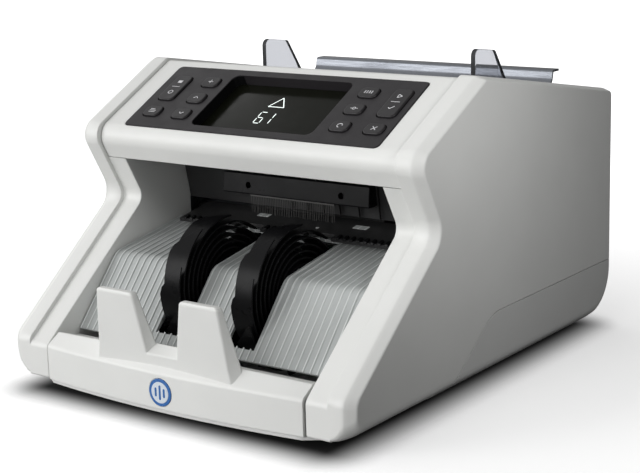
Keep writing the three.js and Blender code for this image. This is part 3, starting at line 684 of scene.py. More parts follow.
def side_cover():
    lowest = FLOOR_Z + GAP
    strip = loft("strip", [strip_ring(x, amount) for x, amount in [
        (109.1, 0.5), (109.25, 0.15), (109.6, 0), (111.5, 0), (114, 0), (116.5, 0), (118.4, 0), (119.6, 0),
        *ROLLED_EDGE]])
    cheek = loft("cheek", [body_ring(x, INNER_REACH, INNER_RADII, lowest, amount) for x, amount in [
        (95, 0.8), (95.25, 0.25), (95.9, 0), (100, 0), (105, 0), (110.5, 0)]])
    keep(cheek, block("region", 0, 130, -160, -9, 0, COVER_LOWER_EDGE - 0.4))
    hollow = loft("hollow", [
        body_ring(POCKET_HALF + SKIN, INNER_REACH, INNER_RADII, lowest, SKIN),
        body_ring(STRIP_INNER, INNER_REACH, INNER_RADII, lowest, SKIN),
        body_ring(STRIP_INNER + 1.2, OUTER_REACH, INNER_RADII, lowest, SKIN),
        body_ring(STRIP_OUTER - 1, OUTER_REACH, OUTER_RADII, lowest + 2, SKIN),
        body_ring(HALF_WIDTH - SKIN, FLUSH_REACH, FLUSH_RADII, lowest + 4.5, SKIN)])
    shaft_hole = rod("hole", POCKET_HALF - 2, POCKET_HALF + 5, 5, STACKER_AXIS)
    return cut(join(strip, cheek), hollow, shaft_hole, below_seam(0.4))


def both_sides(rings):
    """Rings from the left side to the right one, given the right half from the middle outwards."""
    left = [[(-x, y, z) for x, y, z in ring] for ring in rings]
    return left[::-1] + rings


def base_shell():
    edge = [(112, UNDERSIDE_Z), (114, 3.3), (117, 5.4)] + [pair for pair in LOWER_EDGE if pair[0] > 118]
    stations = [(x, 0) for x in (112, 114, 116, 117.5, 119, 120.2)] + ROLLED_EDGE
    outer = loft("outer", both_sides([strip_ring(x, amount, edge) for x, amount in stations]))
    keep(outer, below_seam(0))
    room = loft("room", both_sides([
        body_ring(111, OUTER_REACH, MIDDLE_RADII, UNDERSIDE_Z, SKIN),
        body_ring(STRIP_OUTER - 1, OUTER_REACH, OUTER_RADII, UNDERSIDE_Z + 4, SKIN),
        body_ring(HALF_WIDTH - SKIN, FLUSH_REACH, FLUSH_RADII, UNDERSIDE_Z + 6.8, SKIN)]))
    front = [(x, lip_front(x) + 1.4) for x in range(-92, 93, 4)]
    rest = [(108, -132), (112, -30), (-112, -30), (-108, -132)]
    plate = prism("plate", front + rest, along_z, UNDERSIDE_Z, FLOOR_Z)
    inlet_x, _, z = centre_of("power_inlet")
    rocker_x, _, _ = centre_of("power_rocker")
    inlet = block("inlet", inlet_x - 14.3, inlet_x + 14.3, *THROUGH_REAR, z - 10.3, z + 10.3)
    rocker = block("rocker", rocker_x - 7.4, rocker_x + 7.4, *THROUGH_REAR, z - 10.4, z + 10.4)
    return cut(join(cut(outer, room), plate), inlet, rocker)


def top_cover():
    width = STRIP_INNER - GAP
    ends = [(width, 0.5), (width - 0.15, 0.15), (width - 0.5, 0), (60, 0), (20, 0)]
    stations = [(-x, amount) for x, amount in ends] + ends[::-1]
    cover = loft("cover", [body_ring(x, INNER_REACH, INNER_RADII, 7, amount) for x, amount in stations])
    inner = loft("inner", [body_ring(x, INNER_REACH, INNER_RADII, -10, SKIN) for x in (-112, 112)])
    above = [(-100, COVER_LOWER_EDGE), (60, COVER_LOWER_EDGE), (60, 146), (170, 146), (170, 200),
             (-100, 200)]
    cut(cover, inner)
    keep(cover, prism("upper", above, along_x, -120, 120))
    half, outside = OPENING_HALF, OPENING_HALF + OPENING_WALL
    opening = prism("opening", rectangle(-half, half, OPENING_FRONT, 133.3), along_z, 130, 200)
    wall = [(34, 126), (133.4, 126), (133.4, 153.5), (34, 170)]
    walls = [prism("wall", wall, along_x, low, high) for low, high in ((half, outside), (-outside, -half))]
    front_wall = block("front", -outside, outside, OPENING_FRONT - OPENING_WALL, OPENING_FRONT, 135, 170)
    hole = prism("hole", rectangle(-93.6, 93.6, 7.1, 70.5, 3.4), on_slope, -8, 10)
    return cut(join(cut(cover, opening), *walls, front_wall), hole)


def rear_cover():
    width = STRIP_INNER - GAP
    outline = rectangle(-width, width, SEAM_HEIGHT + 0.4, 145.6, 0.5, 2)
    plate = prism("plate", outline, along_y, REAR_Y - SKIN, REAR_Y, 0.4)
    slots = [prism("slot", rectangle(x - 17, x + 17, z, z + 5, 2.4), along_y, *THROUGH_REAR)
             for z in (62, 78, 94, 110) for x in (-66, -22, 22, 66)]
    return cut(plate, *slots)


# ---- front lip
def lip_front(x):
    return FRONT_Y + x * x / 1400


def lip_ring(x):
    front = lip_front(x)
    top_y = -142.7 + x * x / 1058
    top_z = 35.3 - x * x / 2195
    bottom = FLOOR_Z + GAP
    outline = rounded([
        (front, bottom), (front, 25.5), (top_y, top_z), (top_y + 2.2, top_z - 0.4), (-127, 26.2),
        (-117.5, 26.2), (-117.5, 23.8), (-128, 23.8), (top_y + 1.6, top_z - 3.4), (front + SKIN, 24.4),
        (front + SKIN, bottom)], [0.6, 3.5, 1.0, 0.8, 2, 0.6, 0.6, 1, 1.5, 2, 0.6], 4)
    return [(x, point.x, point.y) for point in outline]


def lip_tab():
    """The right tab: wide and deep at its foot, thin and round at its head."""
    head, top = 67.2, 69.6
    # (z, inner x in front, outer x in front, inner x behind, outer x behind, front y, rear y)
    stations = [
        (24.6, 8.6, 49.2, 2.6, 54.6, -147.4, -141.4), (35, 11.2, 47.2, 6.8, 52, -148.2, -140.2),
        (head, 16.8, 44.4, 16.2, 44.9, -151.3, -146.2), (top, 18.6, 42.4, 18.6, 42.4, -151.5, -146.7),
    ]
    rings = []
    for near, far in zip(stations[:2], stations[1:3]):
        for share in (0, 0.25, 0.5, 0.75):
            rings.append(tab_ring(mix_lists(near, far, share), 0))
    for k in range(6):
        turn = math.pi / 2 * k / 5
        values = mix_lists(stations[2], stations[3], 1 - math.cos(turn))
        values[0] = head + (top - head) * math.sin(turn)
        rings.append(tab_ring(values, 0.9 * (1 - math.cos(turn))))
    return loft("tab", rings)


def tab_ring(values, amount):
    z, inner_front, outer_front, inner_back, outer_back, front, back = values
    corners = [(inner_front, front), (outer_front, front), (outer_back, back), (inner_back, back)]
    outline = rounded(corners, [1.8, 1.8, 1.4, 1.4], 5)
    return [(point.x, point.y, z) for point in inset(outline, amount)]


def front_lip():
    panel = loft("panel", [lip_ring(x) for x in [-LIP_HALF, *range(-92, 93, 8), LIP_HALF]])
    tab = lip_tab()
    other = mirrored(tab, "tab")
    web_outline = rounded([(-147.4, 24.8), (-148.2, 35.2), (-141, 40.3), (-139.5, 33)], [0, 1.4, 1.0, 0], 4)
    web = prism("web", web_outline, along_x, -14, 14)
    seat = rod("seat", FRONT_Y - 2, FRONT_Y + 0.8, 8.3, BADGE_CENTRE, along_y)
    return cut(join(panel, tab, other, web), seat)


# ---- control panel
KEY_NAMES = [node for node in frame["nodes"] if node.startswith("key_")]
KEY_FLANGE = 1.1
KEY_TOP = PANEL_TOP + 1.2
PANEL_CORNER = 3.2


def key_frame(node):
    """(x, s, half width, half height) of a key's cap on the slope."""
    low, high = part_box(node)
    points = [v.co for v in frame["nodes"][node].data.vertices]
    slopes = [(p.y / MM - NOSE.x) * SLOPE_UP.x + (p.z / MM - STAND - NOSE.y) * SLOPE_UP.y for p in points]
    half_x = (high.x - low.x) / 2 / MM - KEY_FLANGE
    half_s = (max(slopes) - min(slopes)) / 2 - KEY_FLANGE
    return centre_of(node)[0], (max(slopes) + min(slopes)) / 2, half_x, half_s


def key_outline(node, margin):
    x, s, half_x, half_s = key_frame(node)
    half_x += margin
    half_s += margin
    return rectangle(x - half_x, x + half_x, s - half_s, s + half_s, PANEL_CORNER + margin, 8)


def display_outline(margin, radius):
    half = DISPLAY_HALF - margin
    return rectangle(-half, half, DISPLAY_LOW + margin, DISPLAY_HIGH - margin, radius, 8)


def control_panel():
    outline = rectangle(-93.3, 93.3, 7.4, 70.2, PANEL_CORNER, 8)
    plate = prism("plate", outline, on_slope, -1.1, PANEL_TOP, 0.5)
    frame_wall = prism("wall", display_outline(-1.5, 6.5), on_slope, -6, 0)
    recess = prism("recess", display_outline(0, 5), on_slope, -8, 5)
    holes = [prism("hole", key_outline(node, 0.55), on_slope, -5, 5) for node in KEY_NAMES]
    return cut(join(plate, frame_wall), recess, *holes)


def key_cap(node):
    x, s, _, _ = key_frame(node)
    cap = prism("cap", key_outline(node, 0), on_slope, -2.4, KEY_TOP, 0.9)
    flange = prism("flange", key_outline(node, KEY_FLANGE), on_slope, -3.2, -1.6, 0.3)
    stem = prism("stem", rectangle(x - 2, x + 2, s - 2, s + 2, 0.4, 2), on_slope, -6.2, -3)
    return join(cap, flange, stem)


def stroke(x0, s0, x1, s1, width=0.55):
    """One printed line as a thin outline."""
    start, end = Vector((x0, s0)), Vector((x1, s1))
    side = (end - start).normalized().orthogonal() * width / 2
    return [start + side, start - side, end - side, end + side]


def ring_lines(s, radius, sides=12, skip=0):
    points = circle(radius, (0, s), sides)
    return [(*points[k], *points[(k + 1) % sides]) for k in range(sides - skip)]


# Each line of a sign is (x0, s0, x1, s1), from the key's middle, and its width if not the usual one.
KEY_SIGNS = {
    "key_left_tall": [(-1.6, 6.0, 1.6, 6.0, 2.4), (-3, 0.8, 3, 0.8, 0.4), *ring_lines(-5, 1.6)],
    "key_left_corner": [(-2.4, 0, 2.4, 0, 0.5), (-2.4, -1.4, 2.4, -1.4, 0.5), (-2.4, 1.4, 1, 1.4, 0.5)],
    "key_left_upper": [(-1.7, 0, 1.7, 0), (0, -1.7, 0, 1.7)],
    "key_left_middle": [(-1.6, -0.8, 0, 0.9), (0, 0.9, 1.6, -0.8)],
    "key_left_lower": [(-1.6, 0.8, 0, -0.9), (0, -0.9, 1.6, 0.8)],
    "key_right_upper": [(k - 2.4, -1.3, k - 2.4, 1.3, 0.6) for k in (0, 1.6, 3.2, 4.8)],
    "key_right_middle": [*ring_lines(0, 1.0, 8), (-2.4, 0, -1.6, 0), (1.6, 0, 2.4, 0)],
    "key_right_lower": ring_lines(0, 1.7, 12, 3),
    "key_right_tall": [(-1.2, 4.4, -1.2, 7.6), (-1.2, 7.6, 1.6, 6), (1.6, 6, -1.2, 4.4),
                       (-3, 0.6, 3, 0.6, 0.4), (-1.5, -5, -0.3, -6.2), (-0.3, -6.2, 1.9, -3.6)],
    "key_right_corner": [(-1.5, -1.5, 1.5, 1.5), (-1.5, 1.5, 1.5, -1.5)],
}


def printed(name, lines, x, s, level, thickness=0.08):
    shapes = []
    for line in lines:
        moved = [point + Vector((x, s)) for point in stroke(*line)]
        shapes.append(prism("stroke", moved, on_slope, level, level + thickness))
    return merge(name, shapes)


DIGIT_FOOT = 27.2
DISPLAY_LINE = 0.6
SEGMENTS = {
    "top": (0.7, 11.2, 4.4, 11.2), "upper_right": (4.8, 6.5, 4.8, 10.6), "lower_right": (4.8, 1, 4.8, 5.1),
    "bottom": (0.7, 0.4, 4.4, 0.4), "lower_left": (0.3, 1, 0.3, 5.1), "upper_left": (0.3, 6.5, 0.3, 10.6),
    "middle": (0.8, 5.8, 4.3, 5.8),
}
DIGITS = {
    "6": ("top", "upper_left", "middle", "lower_left", "lower_right", "bottom"),
    "1": ("upper_right", "lower_right"),
}


def display_graphics():
    """Two segment digits, and a plain triangle above them."""
    lines = []
    for digit, x in (("6", -9.5), ("1", -3.2)):
        for part in DIGITS[digit]:
            x0, s0, x1, s1 = SEGMENTS[part]
            lines.append((x0 + x, s0 + DIGIT_FOOT, x1 + x, s1 + DIGIT_FOOT, DISPLAY_LINE))
    corners = [(-8.4, 44.2), (3, 44.2), (-2.7, 53.4)]
    lines += [(*corners[k - 1], *corners[k], DISPLAY_LINE) for k in range(3)]
    return printed("display_graphics", lines, 0, 0, DISPLAY_LEVEL, 0.05)


def display_surround():
    """A thin black plastic sheet down the recess's left side and along its foot, which also serves as
    painted shade on those walls.
    """
    left, low, high = -DISPLAY_HALF, DISPLAY_LOW, DISPLAY_HIGH
    outline = sheet([(left + 6, high), (left, high), (left, low), (-left - 6, low)], -0.35, [0, 5, 5, 0], 8)
    return prism("shade_lining", outline, on_slope, DISPLAY_LEVEL + 0.02, PANEL_TOP - 0.4)


def build_panel():
    stand_for(control_panel(), "control_panel")
    window = prism("window", display_outline(0.3, 4.7), on_slope, DISPLAY_LEVEL - 1.4, DISPLAY_LEVEL, 0.2)
    stand_for(window, "display_window")
    detail(display_graphics(), "display_window", "display_lit")
    # The black sheet in the display recess is partly painted shade.
    detail(display_surround(), "control_panel", "black_plastic", "black_plastic")
    for node in KEY_NAMES:
        x, s, _, _ = key_frame(node)
        stand_for(key_cap(node), node)
        detail(printed(node + "_sign", KEY_SIGNS[node], x, s, KEY_TOP), node, "print_white")


# ---- stacker pocket
def rib_height(x):
    """Height of the sheet's ribs at x: narrow rounded ridges at a steady pitch."""
    offset = abs((x + RIB_PITCH / 2) % RIB_PITCH - RIB_PITCH / 2)
    return RIB_RISE * math.cos(math.pi / 2 * offset / RIB_HALF) if offset < RIB_HALF else 0.0


def stacker_plate():
    pairs = bent_path([(-20, 80.2), (-81.5, 69.4), (-116.4, 29.4)], [0, 11, 0], 12)
    half = POCKET_HALF - 0.5
    stations = {-half, half}
    for k in range(-19, 20):
        stations.update(RIB_PITCH * k + step for step in (-RIB_HALF, -0.5, -0.2, 0.2, 0.5, RIB_HALF))
    rings = []
    for x in sorted(stations):
        height = rib_height(x)
        top = [point + normal * height for point, normal in pairs]
        under = [point - normal * 2 for point, normal in pairs]
        rings.append([(x, point.x, point.y) for point in top + under[::-1]])
    slots = [block("slot", low, high, -112, -25, 20, 90) for low, high in WHEEL_SLOTS]
    return cut(loft("plate", rings), *slots)


def spiral_vane(start, x0, x1, steps=56):
    """A curled vane from the hub out to a tip that narrows towards the wheel's right side."""
    axis_y, axis_z = STACKER_AXIS
    rings = []
    for k in range(steps + 1):
        share = k / steps
        angle = start - VANE_SWEEP * share
        half = 0.75 - 0.3 * share
        left = x0 + (x1 - x0) * 0.9 * max(0, (share - TIP_SHARE) / (1 - TIP_SHARE))
        ring = []
        for x, offset in ((left, -half), (x1, -half), (x1, half), (left, half)):
            radius = VANE_ROOT + (WHEEL_RADIUS - 0.8 - VANE_ROOT) * share + offset
            ring.append((x, axis_y + radius * math.cos(angle), axis_z + radius * math.sin(angle)))
        rings.append(ring)
    return loft("vane", rings)


def stacker_wheel(x0, x1):
    starts = [VANE_PHASE + 2 * math.pi * k / VANES for k in range(VANES)]
    vanes = [spiral_vane(start, x0 + 0.5, x1 - 0.5) for start in starts]
    hub = rod("hub", x0, x1, 12, STACKER_AXIS)
    bore = rod("bore", x0 - 1, x1 + 1, 3.3, STACKER_AXIS)
    return cut(join(hub, *vanes), bore)


def brush():
    """Bristles hanging from a thin holder, each leaning a little its own way."""
    random.seed(5)
    forms = [block("holder", -37, 27, -19.1, -17.9, 98.6, 100.2, 0.2)]
    for k in range(BRISTLES):
        x = -36.5 + 1.34 * k
        lean_x, lean_y = random.uniform(-0.25, 0.25), random.uniform(-0.4, 0.4)
        foot = 87.8 + random.uniform(0, 0.8)
        rings = []
        for z, share in ((99, 0), (93, 0.5), (foot, 1)):
            centre = (x + lean_x * share, -18.5 + lean_y * share)
            radius = BRISTLE_RADIUS * (1 - 0.4 * share)
            rings.append([(point.x, point.y, z) for point in circle(radius, centre, 3)])
        forms.append(loft("bristle", rings))
    return merge("brush", forms)


def brush_bar():
    outline = rounded([(-23.7, 100.5), (-22.3, 113.4), (-14.6, 113.4), (-12, 100.5)], 0.8, 3)
    bar = prism("bar", outline, along_x, -55.2, 55.2, 0.5)
    holes = [rod("hole", -30, -19, 2, (x, 106.2), along_y) for x in (-35.1, 35.1)]
    return cut(bar, *holes)


def exit_fins():
    """Guide fins that curve from the exit wall down over the exit plate's rear edge."""
    outline = sheet([(-14.6, 113), (-13.2, 104), (-11.8, 97.5), (-10.6, 92)], 1.6, [0, 5, 5, 0])
    fins = [prism("fin", outline, along_x, x - 0.5, x + 0.5, 0.15) for x in (-10, 2, 14, 26, 40, 55, 70)]
    return merge("exit_fins", fins)


# The exit plate's top edge lines, (y, z).
EXIT_FRONT = (-36.6, 83.5)
EXIT_REAR = (-6, 88.8)


def exit_plate():
    plate = prism("plate", sheet([EXIT_FRONT, EXIT_REAR], 2.2, [0, 0]), along_x, -81, 81, 0.4)
    notches = [block("notch", low, high, -40, -31, 75, 95) for low, high in WHEEL_SLOTS]
    return cut(plate, *notches)


def exit_plate_point(x, y, rise):
    share = (y - EXIT_FRONT[0]) / (EXIT_REAR[0] - EXIT_FRONT[0])
    return (x, y, EXIT_FRONT[1] + (EXIT_REAR[1] - EXIT_FRONT[1]) * share + rise)


def exit_sensors():
    """Sensor windows let into the exit plate, each a thin rounded pad that stands a little proud of it."""
    pieces = []
    for x, y, half_x, half_y in ((-28, -17, 4.5, 2.2), (45, -17, 5, 2.4), (18.5, -25, 1.1, 0.9)):
        outline = rectangle(x - half_x, x + half_x, y - half_y, y + half_y, 0.6, 3)
        rings = [[exit_plate_point(p.x, p.y, rise) for p in outline] for rise in (-0.2, 0.15)]
        pieces.append(loft("sensor", rings))
    return merge("exit_sensors", pieces)


def exit_comb():
    """Small teeth along the exit plate's front edge, between the ribs of the stacker plate."""
    outline = [(-37.4, 83.0), (-37.0, 84.4), (-33, 85.6), (-33, 83.6)]
    teeth = []
    for k in range(-16, 17):
        x = RIB_PITCH * (k + 0.5)
        if SLOT_NEAR - 1 < abs(x) < SLOT_FAR + 1 or abs(x) > 79:
            continue
        teeth.append(prism("tooth", outline, along_x, x - 1.1, x + 1.1, 0.2))
    return merge("exit_comb", teeth)


# ---- hopper
def hopper_sheet():
    """The sheet, with a window for each feed tyre and a slot for each guide's arm."""
    line = [(139.5, 166.2), (131.2, 166.2), (129.8, 160), (100, 123), (64.5, 113.6)]
    plate = prism("plate", sheet(line, -1.5, [0, 2, 6, 7, 0]), along_x, -93.5, 93.5, 0.3)
    cuts = []
    for side in (-1, 1):
        tyre = sorted((side * 16, side * 36))
        guide = sorted((side * 47, side * 94))
        cuts.append(prism("cut", rectangle(*tyre, 70.5, 98.6, 3), along_z, 105, 128))
        cuts.append(block("cut", *guide, 104, 124, 137.4, 143.6))
    return cut(plate, *cuts)


GEAR_MODULE = 1.25


def rack(x0, x1, pitch_z, side):
    """A toothed bar beside the pinion, whose pitch line is at height pitch_z."""
    pitch = math.pi * GEAR_MODULE
    root, tip, back = pitch_z - side * 1.5, pitch_z + side * 1.0, pitch_z - side * 5
    points = [(x0, back), (x0, root)]
    for k in range(math.ceil((x0 + 2) / pitch), math.floor((x1 - 2) / pitch) + 1):
        middle = k * pitch
        points += [(middle - 1.25, root), (middle - 0.35, tip), (middle + 0.35, tip), (middle + 1.25, root)]
    points += [(x1, root), (x1, back)]
    return prism("rack", points, along_y, 126.5, 131.5)


def hopper_guide(side):
    """A clear blade whose arm passes through the sheet to a carriage with a rack."""
    outline = rounded([(54.5, 114.4), (54.5, 187.2), (78.7, 184), (110, 138.6), (99, 124.9), (62, 115.4)],
                      [0, 4.3, 4, 2, 4, 0], 8)
    low, high = sorted((side * 78.25, side * 81.75))
    blade = prism("blade", outline, along_x, low, high, 0.5)
    arm = block("arm", low, high, 104, 124, 138.2, 142.8)
    carriage_low, carriage_high = (138.2, 144) if side > 0 else (118.6, 142.8)
    carriage = block("carriage", low, high, 120, 132.5, carriage_low, carriage_high)
    bar = rack(-20, 80, 139, -1) if side > 0 else rack(-80, 20, 124, 1)
    return join(blade, arm, carriage, bar)


# ---- drive
SHAFT_BORE = 4.3


def pulley(x0, x1, radius, axis):
    flange = radius + 1.6
    profile = [(x0, flange - 1), (x0, flange), (x0 + 0.8, flange), (x0 + 0.8, radius), (x1 - 0.8, radius),
               (x1 - 0.8, flange), (x1, flange), (x1, flange - 1)]
    return lathe("pulley", profile, axis, soften=0.15)


def tight_loop(circles, margin):
    points = [point for axis, radius in circles for point in circle(radius + margin, axis, 48)]
    return [points[k] for k in convex_hull_2d(points)]


def belt(x0, x1, circles):
    outer = prism("belt", tight_loop(circles, 1.5), along_x, x0, x1)
    return cut(outer, prism("inside", tight_loop(circles, 0.45), along_x, x0 - 1, x1 + 1))


def stepped(steps):
    """A turned profile from (x0, x1, radius) stretches set end to end."""
    profile = [(steps[0][0], steps[0][2] - 0.8)]
    for x0, x1, radius in steps:
        profile += [(x0, radius), (x1, radius)]
    profile.append((steps[-1][1], steps[-1][2] - 0.8))
    return profile


def bored(obj, radius, axis):
    return cut(obj, rod("bore", -130, 130, radius, axis, segments=32))


def build_drive():
    for node, axis, steps in (
            ("separator_drum", DRUM_AXIS, [
                (-105, -62, 4), (-62, -34, 18.2), (-34, -18, 20), (-18, 18, 18.2), (18, 34, 20),
                (34, 62, 18.2), (62, 117, 4)]),
            ("retard_roller", RETARD_AXIS, [(-105, -30, 3), (-30, 30, 10), (30, 105, 3)]),
            ("transport_roller", TRANSPORT_AXIS, [(-110, -50, 3.7), (-50, 50, 11), (50, 117, 3.7)]),
            ("pinch_roller", PINCH_AXIS, [(-105, -50, 3), (-50, 50, 8), (50, 105, 3)])):
        stand_for(lathe("roller", stepped(steps), axis), node)
    stand_for(rod("shaft", -105, 117, 4, FEED_AXIS), "feed_shaft")
    stand_for(rod("shaft", -110, 105, 3, STACKER_AXIS), "stacker_shaft")
    for node, x0, x1 in (("feed_tyre_left", -34, -18), ("feed_tyre_right", 18, 34)):
        stand_for(bored(rod("tyre", x0, x1, 18, FEED_AXIS, soften=1.2), SHAFT_BORE, FEED_AXIS), node)
    for node, x0, x1, radius, bore, axis in (
            ("feed_pulley", 110.5, 116, 10, SHAFT_BORE, FEED_AXIS),
            ("transport_pulley", 110.5, 116, 8, 4, TRANSPORT_AXIS),
            ("stacker_drive_pulley", -110, -104, 6, 4, TRANSPORT_AXIS),
            ("stacker_pulley", -110, -104, 14, 3.3, STACKER_AXIS)):
        stand_for(bored(pulley(x0, x1, radius, axis), bore, axis), node)
    drum_pulleys = join(pulley(104, 110, 14, DRUM_AXIS), pulley(109.5, 116, 12, DRUM_AXIS))
    stand_for(bored(drum_pulleys, SHAFT_BORE, DRUM_AXIS), "drum_pulley")
    motor_pulley = join(pulley(104, 110, 7, MOTOR_AXIS), rod("shaft", 92, 110, 3, MOTOR_AXIS))
    stand_for(motor_pulley, "motor_pulley")
    stand_for(belt(105, 109, [(MOTOR_AXIS, 7), (DRUM_AXIS, 14)]), "drive_belt")
    stand_for(belt(111.5, 115, [(FEED_AXIS, 10), (DRUM_AXIS, 12), (TRANSPORT_AXIS, 8)]), "feed_belt")
    stand_for(belt(-109, -105, [(TRANSPORT_AXIS, 6), (STACKER_AXIS, 14)]), "stacker_belt")


def foot(node):
    x, y, _ = centre_of(node)
    profile = [(-STAND, 6.5), (-STAND, 8.5), (UNDERSIDE_Z, 10), (UNDERSIDE_Z, 8)]
    return lathe("foot", profile, (x, y), along_z, 0.6)


def screws(name, spots, place, level, radius=2.6):
    """Cross-head screws: a shallow dome with two crossed slots."""
    dome = [(share, 0.7 * math.sqrt(1 - min(share, 0.999) ** 2)) for share in (1, 0.96, 0.8, 0.5, 0.2)]
    made = []
    for u, v in spots:
        rings = []
        for share, rise in [(1, -0.2), *dome]:
            rings.append([place(p.x, p.y, level + rise) for p in circle(radius * share, (u, v), 24)])
        head = loft("head", rings)
        arms = [prism("arm", stroke(u - dx, v - dy, u + dx, v + dy, 0.5), place, level + 0.25, level + 1)
                for dx, dy in ((1.4, 0), (0, 1.4))]
        made.append(cut(head, *arms))
    return merge(name, made)


def badge():
    profile = [(FRONT_Y + 0.7, 6), (FRONT_Y + 0.7, 8), (FRONT_Y - 0.3, 8), (FRONT_Y - 0.3, 6)]
    return lathe("rim", profile, BADGE_CENTRE, along_y, 0.25)


def badge_face():
    return rod("disc", FRONT_Y - 0.42, FRONT_Y - 0.1, 6.2, BADGE_CENTRE, along_y, 0.1)


def badge_bars():
    middle = BADGE_CENTRE[1]
    bars = []
    for x, half in ((-3, 2.6), (0, 4.2), (3, 2.6)):
        outline = rectangle(x - 0.7, x + 0.7, middle - half, middle + half, 0.6, 4)
        bars.append(prism("bar", outline, along_y, FRONT_Y - 0.5, FRONT_Y - 0.3))
    return merge("badge_bars", bars)


def build_housing():
    cover = side_cover()
    stand_for(mirrored(cover, "left"), "side_cover_left")
    stand_for(cover, "side_cover_right")
    # Each of these functions is named after the node that its piece stands for.
    for make in (top_cover, front_lip, base_shell, rear_cover, badge):
        stand_for(make(), make.__name__)
    detail(badge_face(), "badge", "badge_face")
    detail(badge_bars(), "badge", "badge_blue")
    detail(screws("rear_screws", [(-100, 52), (100, 52), (-100, 138), (100, 138)],
                  lambda u, v, w: (u, -w, v), -REAR_Y), "rear_cover", "shaft_steel", "shaft_steel")
    for node in [name for name in frame["nodes"] if name.startswith("foot_")]:
        stand_for(foot(node), node)


def build_pocket():
    stand_for(stacker_plate(), "stacker_plate", 40)
    stand_for(stacker_wheel(18.5, 34.5), "stacker_wheel_right")
    stand_for(stacker_wheel(-34.5, -18.5), "stacker_wheel_left")
    wall = sheet([(-62.5, 125.2), (-22, 121.5), (-14.3, 114.5), (-9.3, 91.2)], -2.2, [0, 4, 4, 0])
    stand_for(prism("wall", wall, along_x, -94.5, 94.5, 0.3), "exit_wall", material="satin_black")
    stand_for(exit_plate(), "exit_plate", material="satin_black")
    stand_for(brush_bar(), "brush_bar")
    stand_for(brush(), "brush")
    detail(exit_fins(), "exit_wall", "satin_black")
    detail(exit_comb(), "exit_plate", "black_plastic")
    detail(exit_sensors(), "exit_plate", "ribbed_plastic", "ribbed_plastic")


def build_hopper():
    stand_for(hopper_sheet(), "hopper_sheet")
    stand_for(hopper_guide(1), "guide_right")
    stand_for(hopper_guide(-1), "guide_left")


def build_kept_nodes():
    for node in ("panel_board", "main_board", "guide_pinion", "guide_rail", "frame_right", "frame_left",
                 "motor"):
        dress(node, 0.15)
    for node in ("power_inlet", "power_rocker"):
        dress(node, 0.4)


# ---- studio
# The painted shadow patch on the floor, in metres: (axis, middle, half length).
FLOOR_SHADOW = [(0, 0.002, 0.102), (1, 0.0, 0.138)]
BLACK = (0.0, 0.0, 0.0)


def floor_shade(shader):
    """A painted contact shadow: the share of the floor's colour and glow that is kept, from 0 beneath the
    machine to 1 well clear of it.
    """
    parts = shader.node("ShaderNodeSeparateXYZ", Vector=shader.coordinates)
    squares = []
    for axis, centre, half in FLOOR_SHADOW:
        shifted = shader.maths("SUBTRACT", parts.outputs[axis], centre)
        outside = shader.maths("SUBTRACT", shader.maths("ABSOLUTE", shifted), half)
        beyond = shader.maths("MAXIMUM", outside, 0.0)
        squares.append(shader.maths("MULTIPLY", beyond, beyond))
    distance = shader.maths("SQRT", shader.maths("ADD", *squares))
    return shader.mapped(distance, 0.0, 0.035, 0.0, 1.0, interpolation="SMOOTHSTEP")


def build_floor():
    corners = [(x, y, -STAND) for x, y in ((-4000, -4000), (4000, -4000), (4000, 4000), (-4000, 4000))]
    floor = new_object("floor", corners, [(0, 1, 2, 3)])
    shader = Shader("floor", Roughness=0.9)
    seen = shader.seen_directly()
    shade = floor_shade(shader)
    drift = shader.spread(shader.noise(300, 2.0), 0.0, 1.0)
    pale = shader.tint(drift, (0.9, 0.9, 0.9), (0.93, 0.93, 0.93))
    # Painted shadow: the floor's colour and its glow both darken towards the machine.
    shaded = shader.tint(shade, BLACK, pale)
    fade = shader.mapped(shader.vector_maths("LENGTH", shader.coordinates), 0.2, 0.7, 0.45, 1.0)
    shader.drive(Base_Color=shader.tint(seen, (0.2, 0.2, 0.2), shaded),
                 Emission_Color=shader.tint(shade, BLACK, (1.0, 1.0, 1.0)),
                 Emission_Strength=shader.maths("MULTIPLY", fade, seen))
    floor.data.materials.append(MATERIALS["floor"])


def area_light(name, place, target, size, power, spread=180):
    light = bpy.data.lights.new(name, "AREA")
    light.shape = "DISK"
    light.size = size
    light.energy = power
    light.spread = math.radians(spread)
    obj = linked(name, light)
    obj.location = place
    obj.rotation_euler = (Vector(target) - Vector(place)).to_track_quat("-Z", "Y").to_euler()
    obj.visible_camera = False


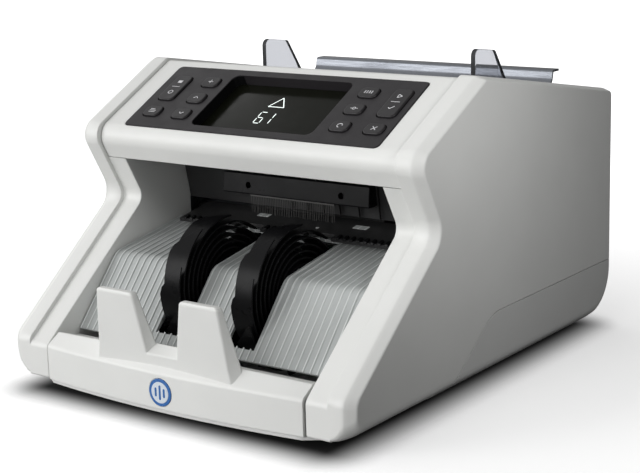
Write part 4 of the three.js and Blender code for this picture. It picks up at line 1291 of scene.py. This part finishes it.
def build_world():
    world = bpy.data.worlds.new("studio")
    bpy.context.scene.world = world
    world.use_nodes = True
    nodes = Nodes(world.node_tree)
    direction = nodes.node("ShaderNodeTexCoord").outputs["Generated"]
    towards = nodes.vector_maths("DOT_PRODUCT", direction, Vector((-0.9, -0.3, 0.3)).normalized())
    choice = nodes.node("ShaderNodeMix")
    nodes.feed(choice.inputs[0], nodes.seen_directly())
    nodes.feed(choice.inputs[2], nodes.mapped(towards, 0.0, 1.0, 0.12, 1.05))
    nodes.feed(choice.inputs[3], 1.0)
    background = nodes.tree.nodes["Background"]
    nodes.feed(background.inputs["Strength"], choice.outputs[0])
    nodes.feed(background.inputs["Color"], (1, 1, 1, 1))


def build_camera():
    azimuth, elevation, roll = math.radians(36.45), math.radians(13.01), math.radians(-1.62)
    back = Vector((math.sin(azimuth) * math.cos(elevation), -math.cos(azimuth) * math.cos(elevation),
                   math.sin(elevation)))
    right = Vector((math.cos(azimuth), math.sin(azimuth), 0))
    up = back.cross(right)
    turned_right = right * math.cos(roll) + up * math.sin(roll)
    turned_up = up * math.cos(roll) - right * math.sin(roll)
    camera = bpy.data.cameras.new("camera")
    camera.sensor_width = 36
    camera.lens = 87.8
    obj = linked("camera", camera)
    matrix = Matrix((turned_right, turned_up, back)).transposed().to_4x4()
    matrix.translation = Vector((562.2, -758.7, 293.6)) * MM
    obj.matrix_world = matrix
    bpy.context.scene.camera = obj


def build_studio():
    bpy.context.scene.view_settings.view_transform = "Standard"
    build_floor()
    build_world()
    area_light("side", (0.36, -0.12, 0.26), (0.125, -0.01, 0.18), 0.12, 0.1, 90)
    area_light("glint", (-0.83, 0.40, 0.97), (-0.04, -0.02, 0.165), 0.16, 0.14)
    area_light("front", (0.12, -1.6, 0.38), (0, 0, 0.1), 1.0, 8)
    area_light("left", (-0.9, -1.2, 0.45), (0, 0, 0.08), 0.8, 7)
    build_camera()


build_housing()
build_panel()
build_pocket()
build_hopper()
build_drive()
build_kept_nodes()
build_studio()
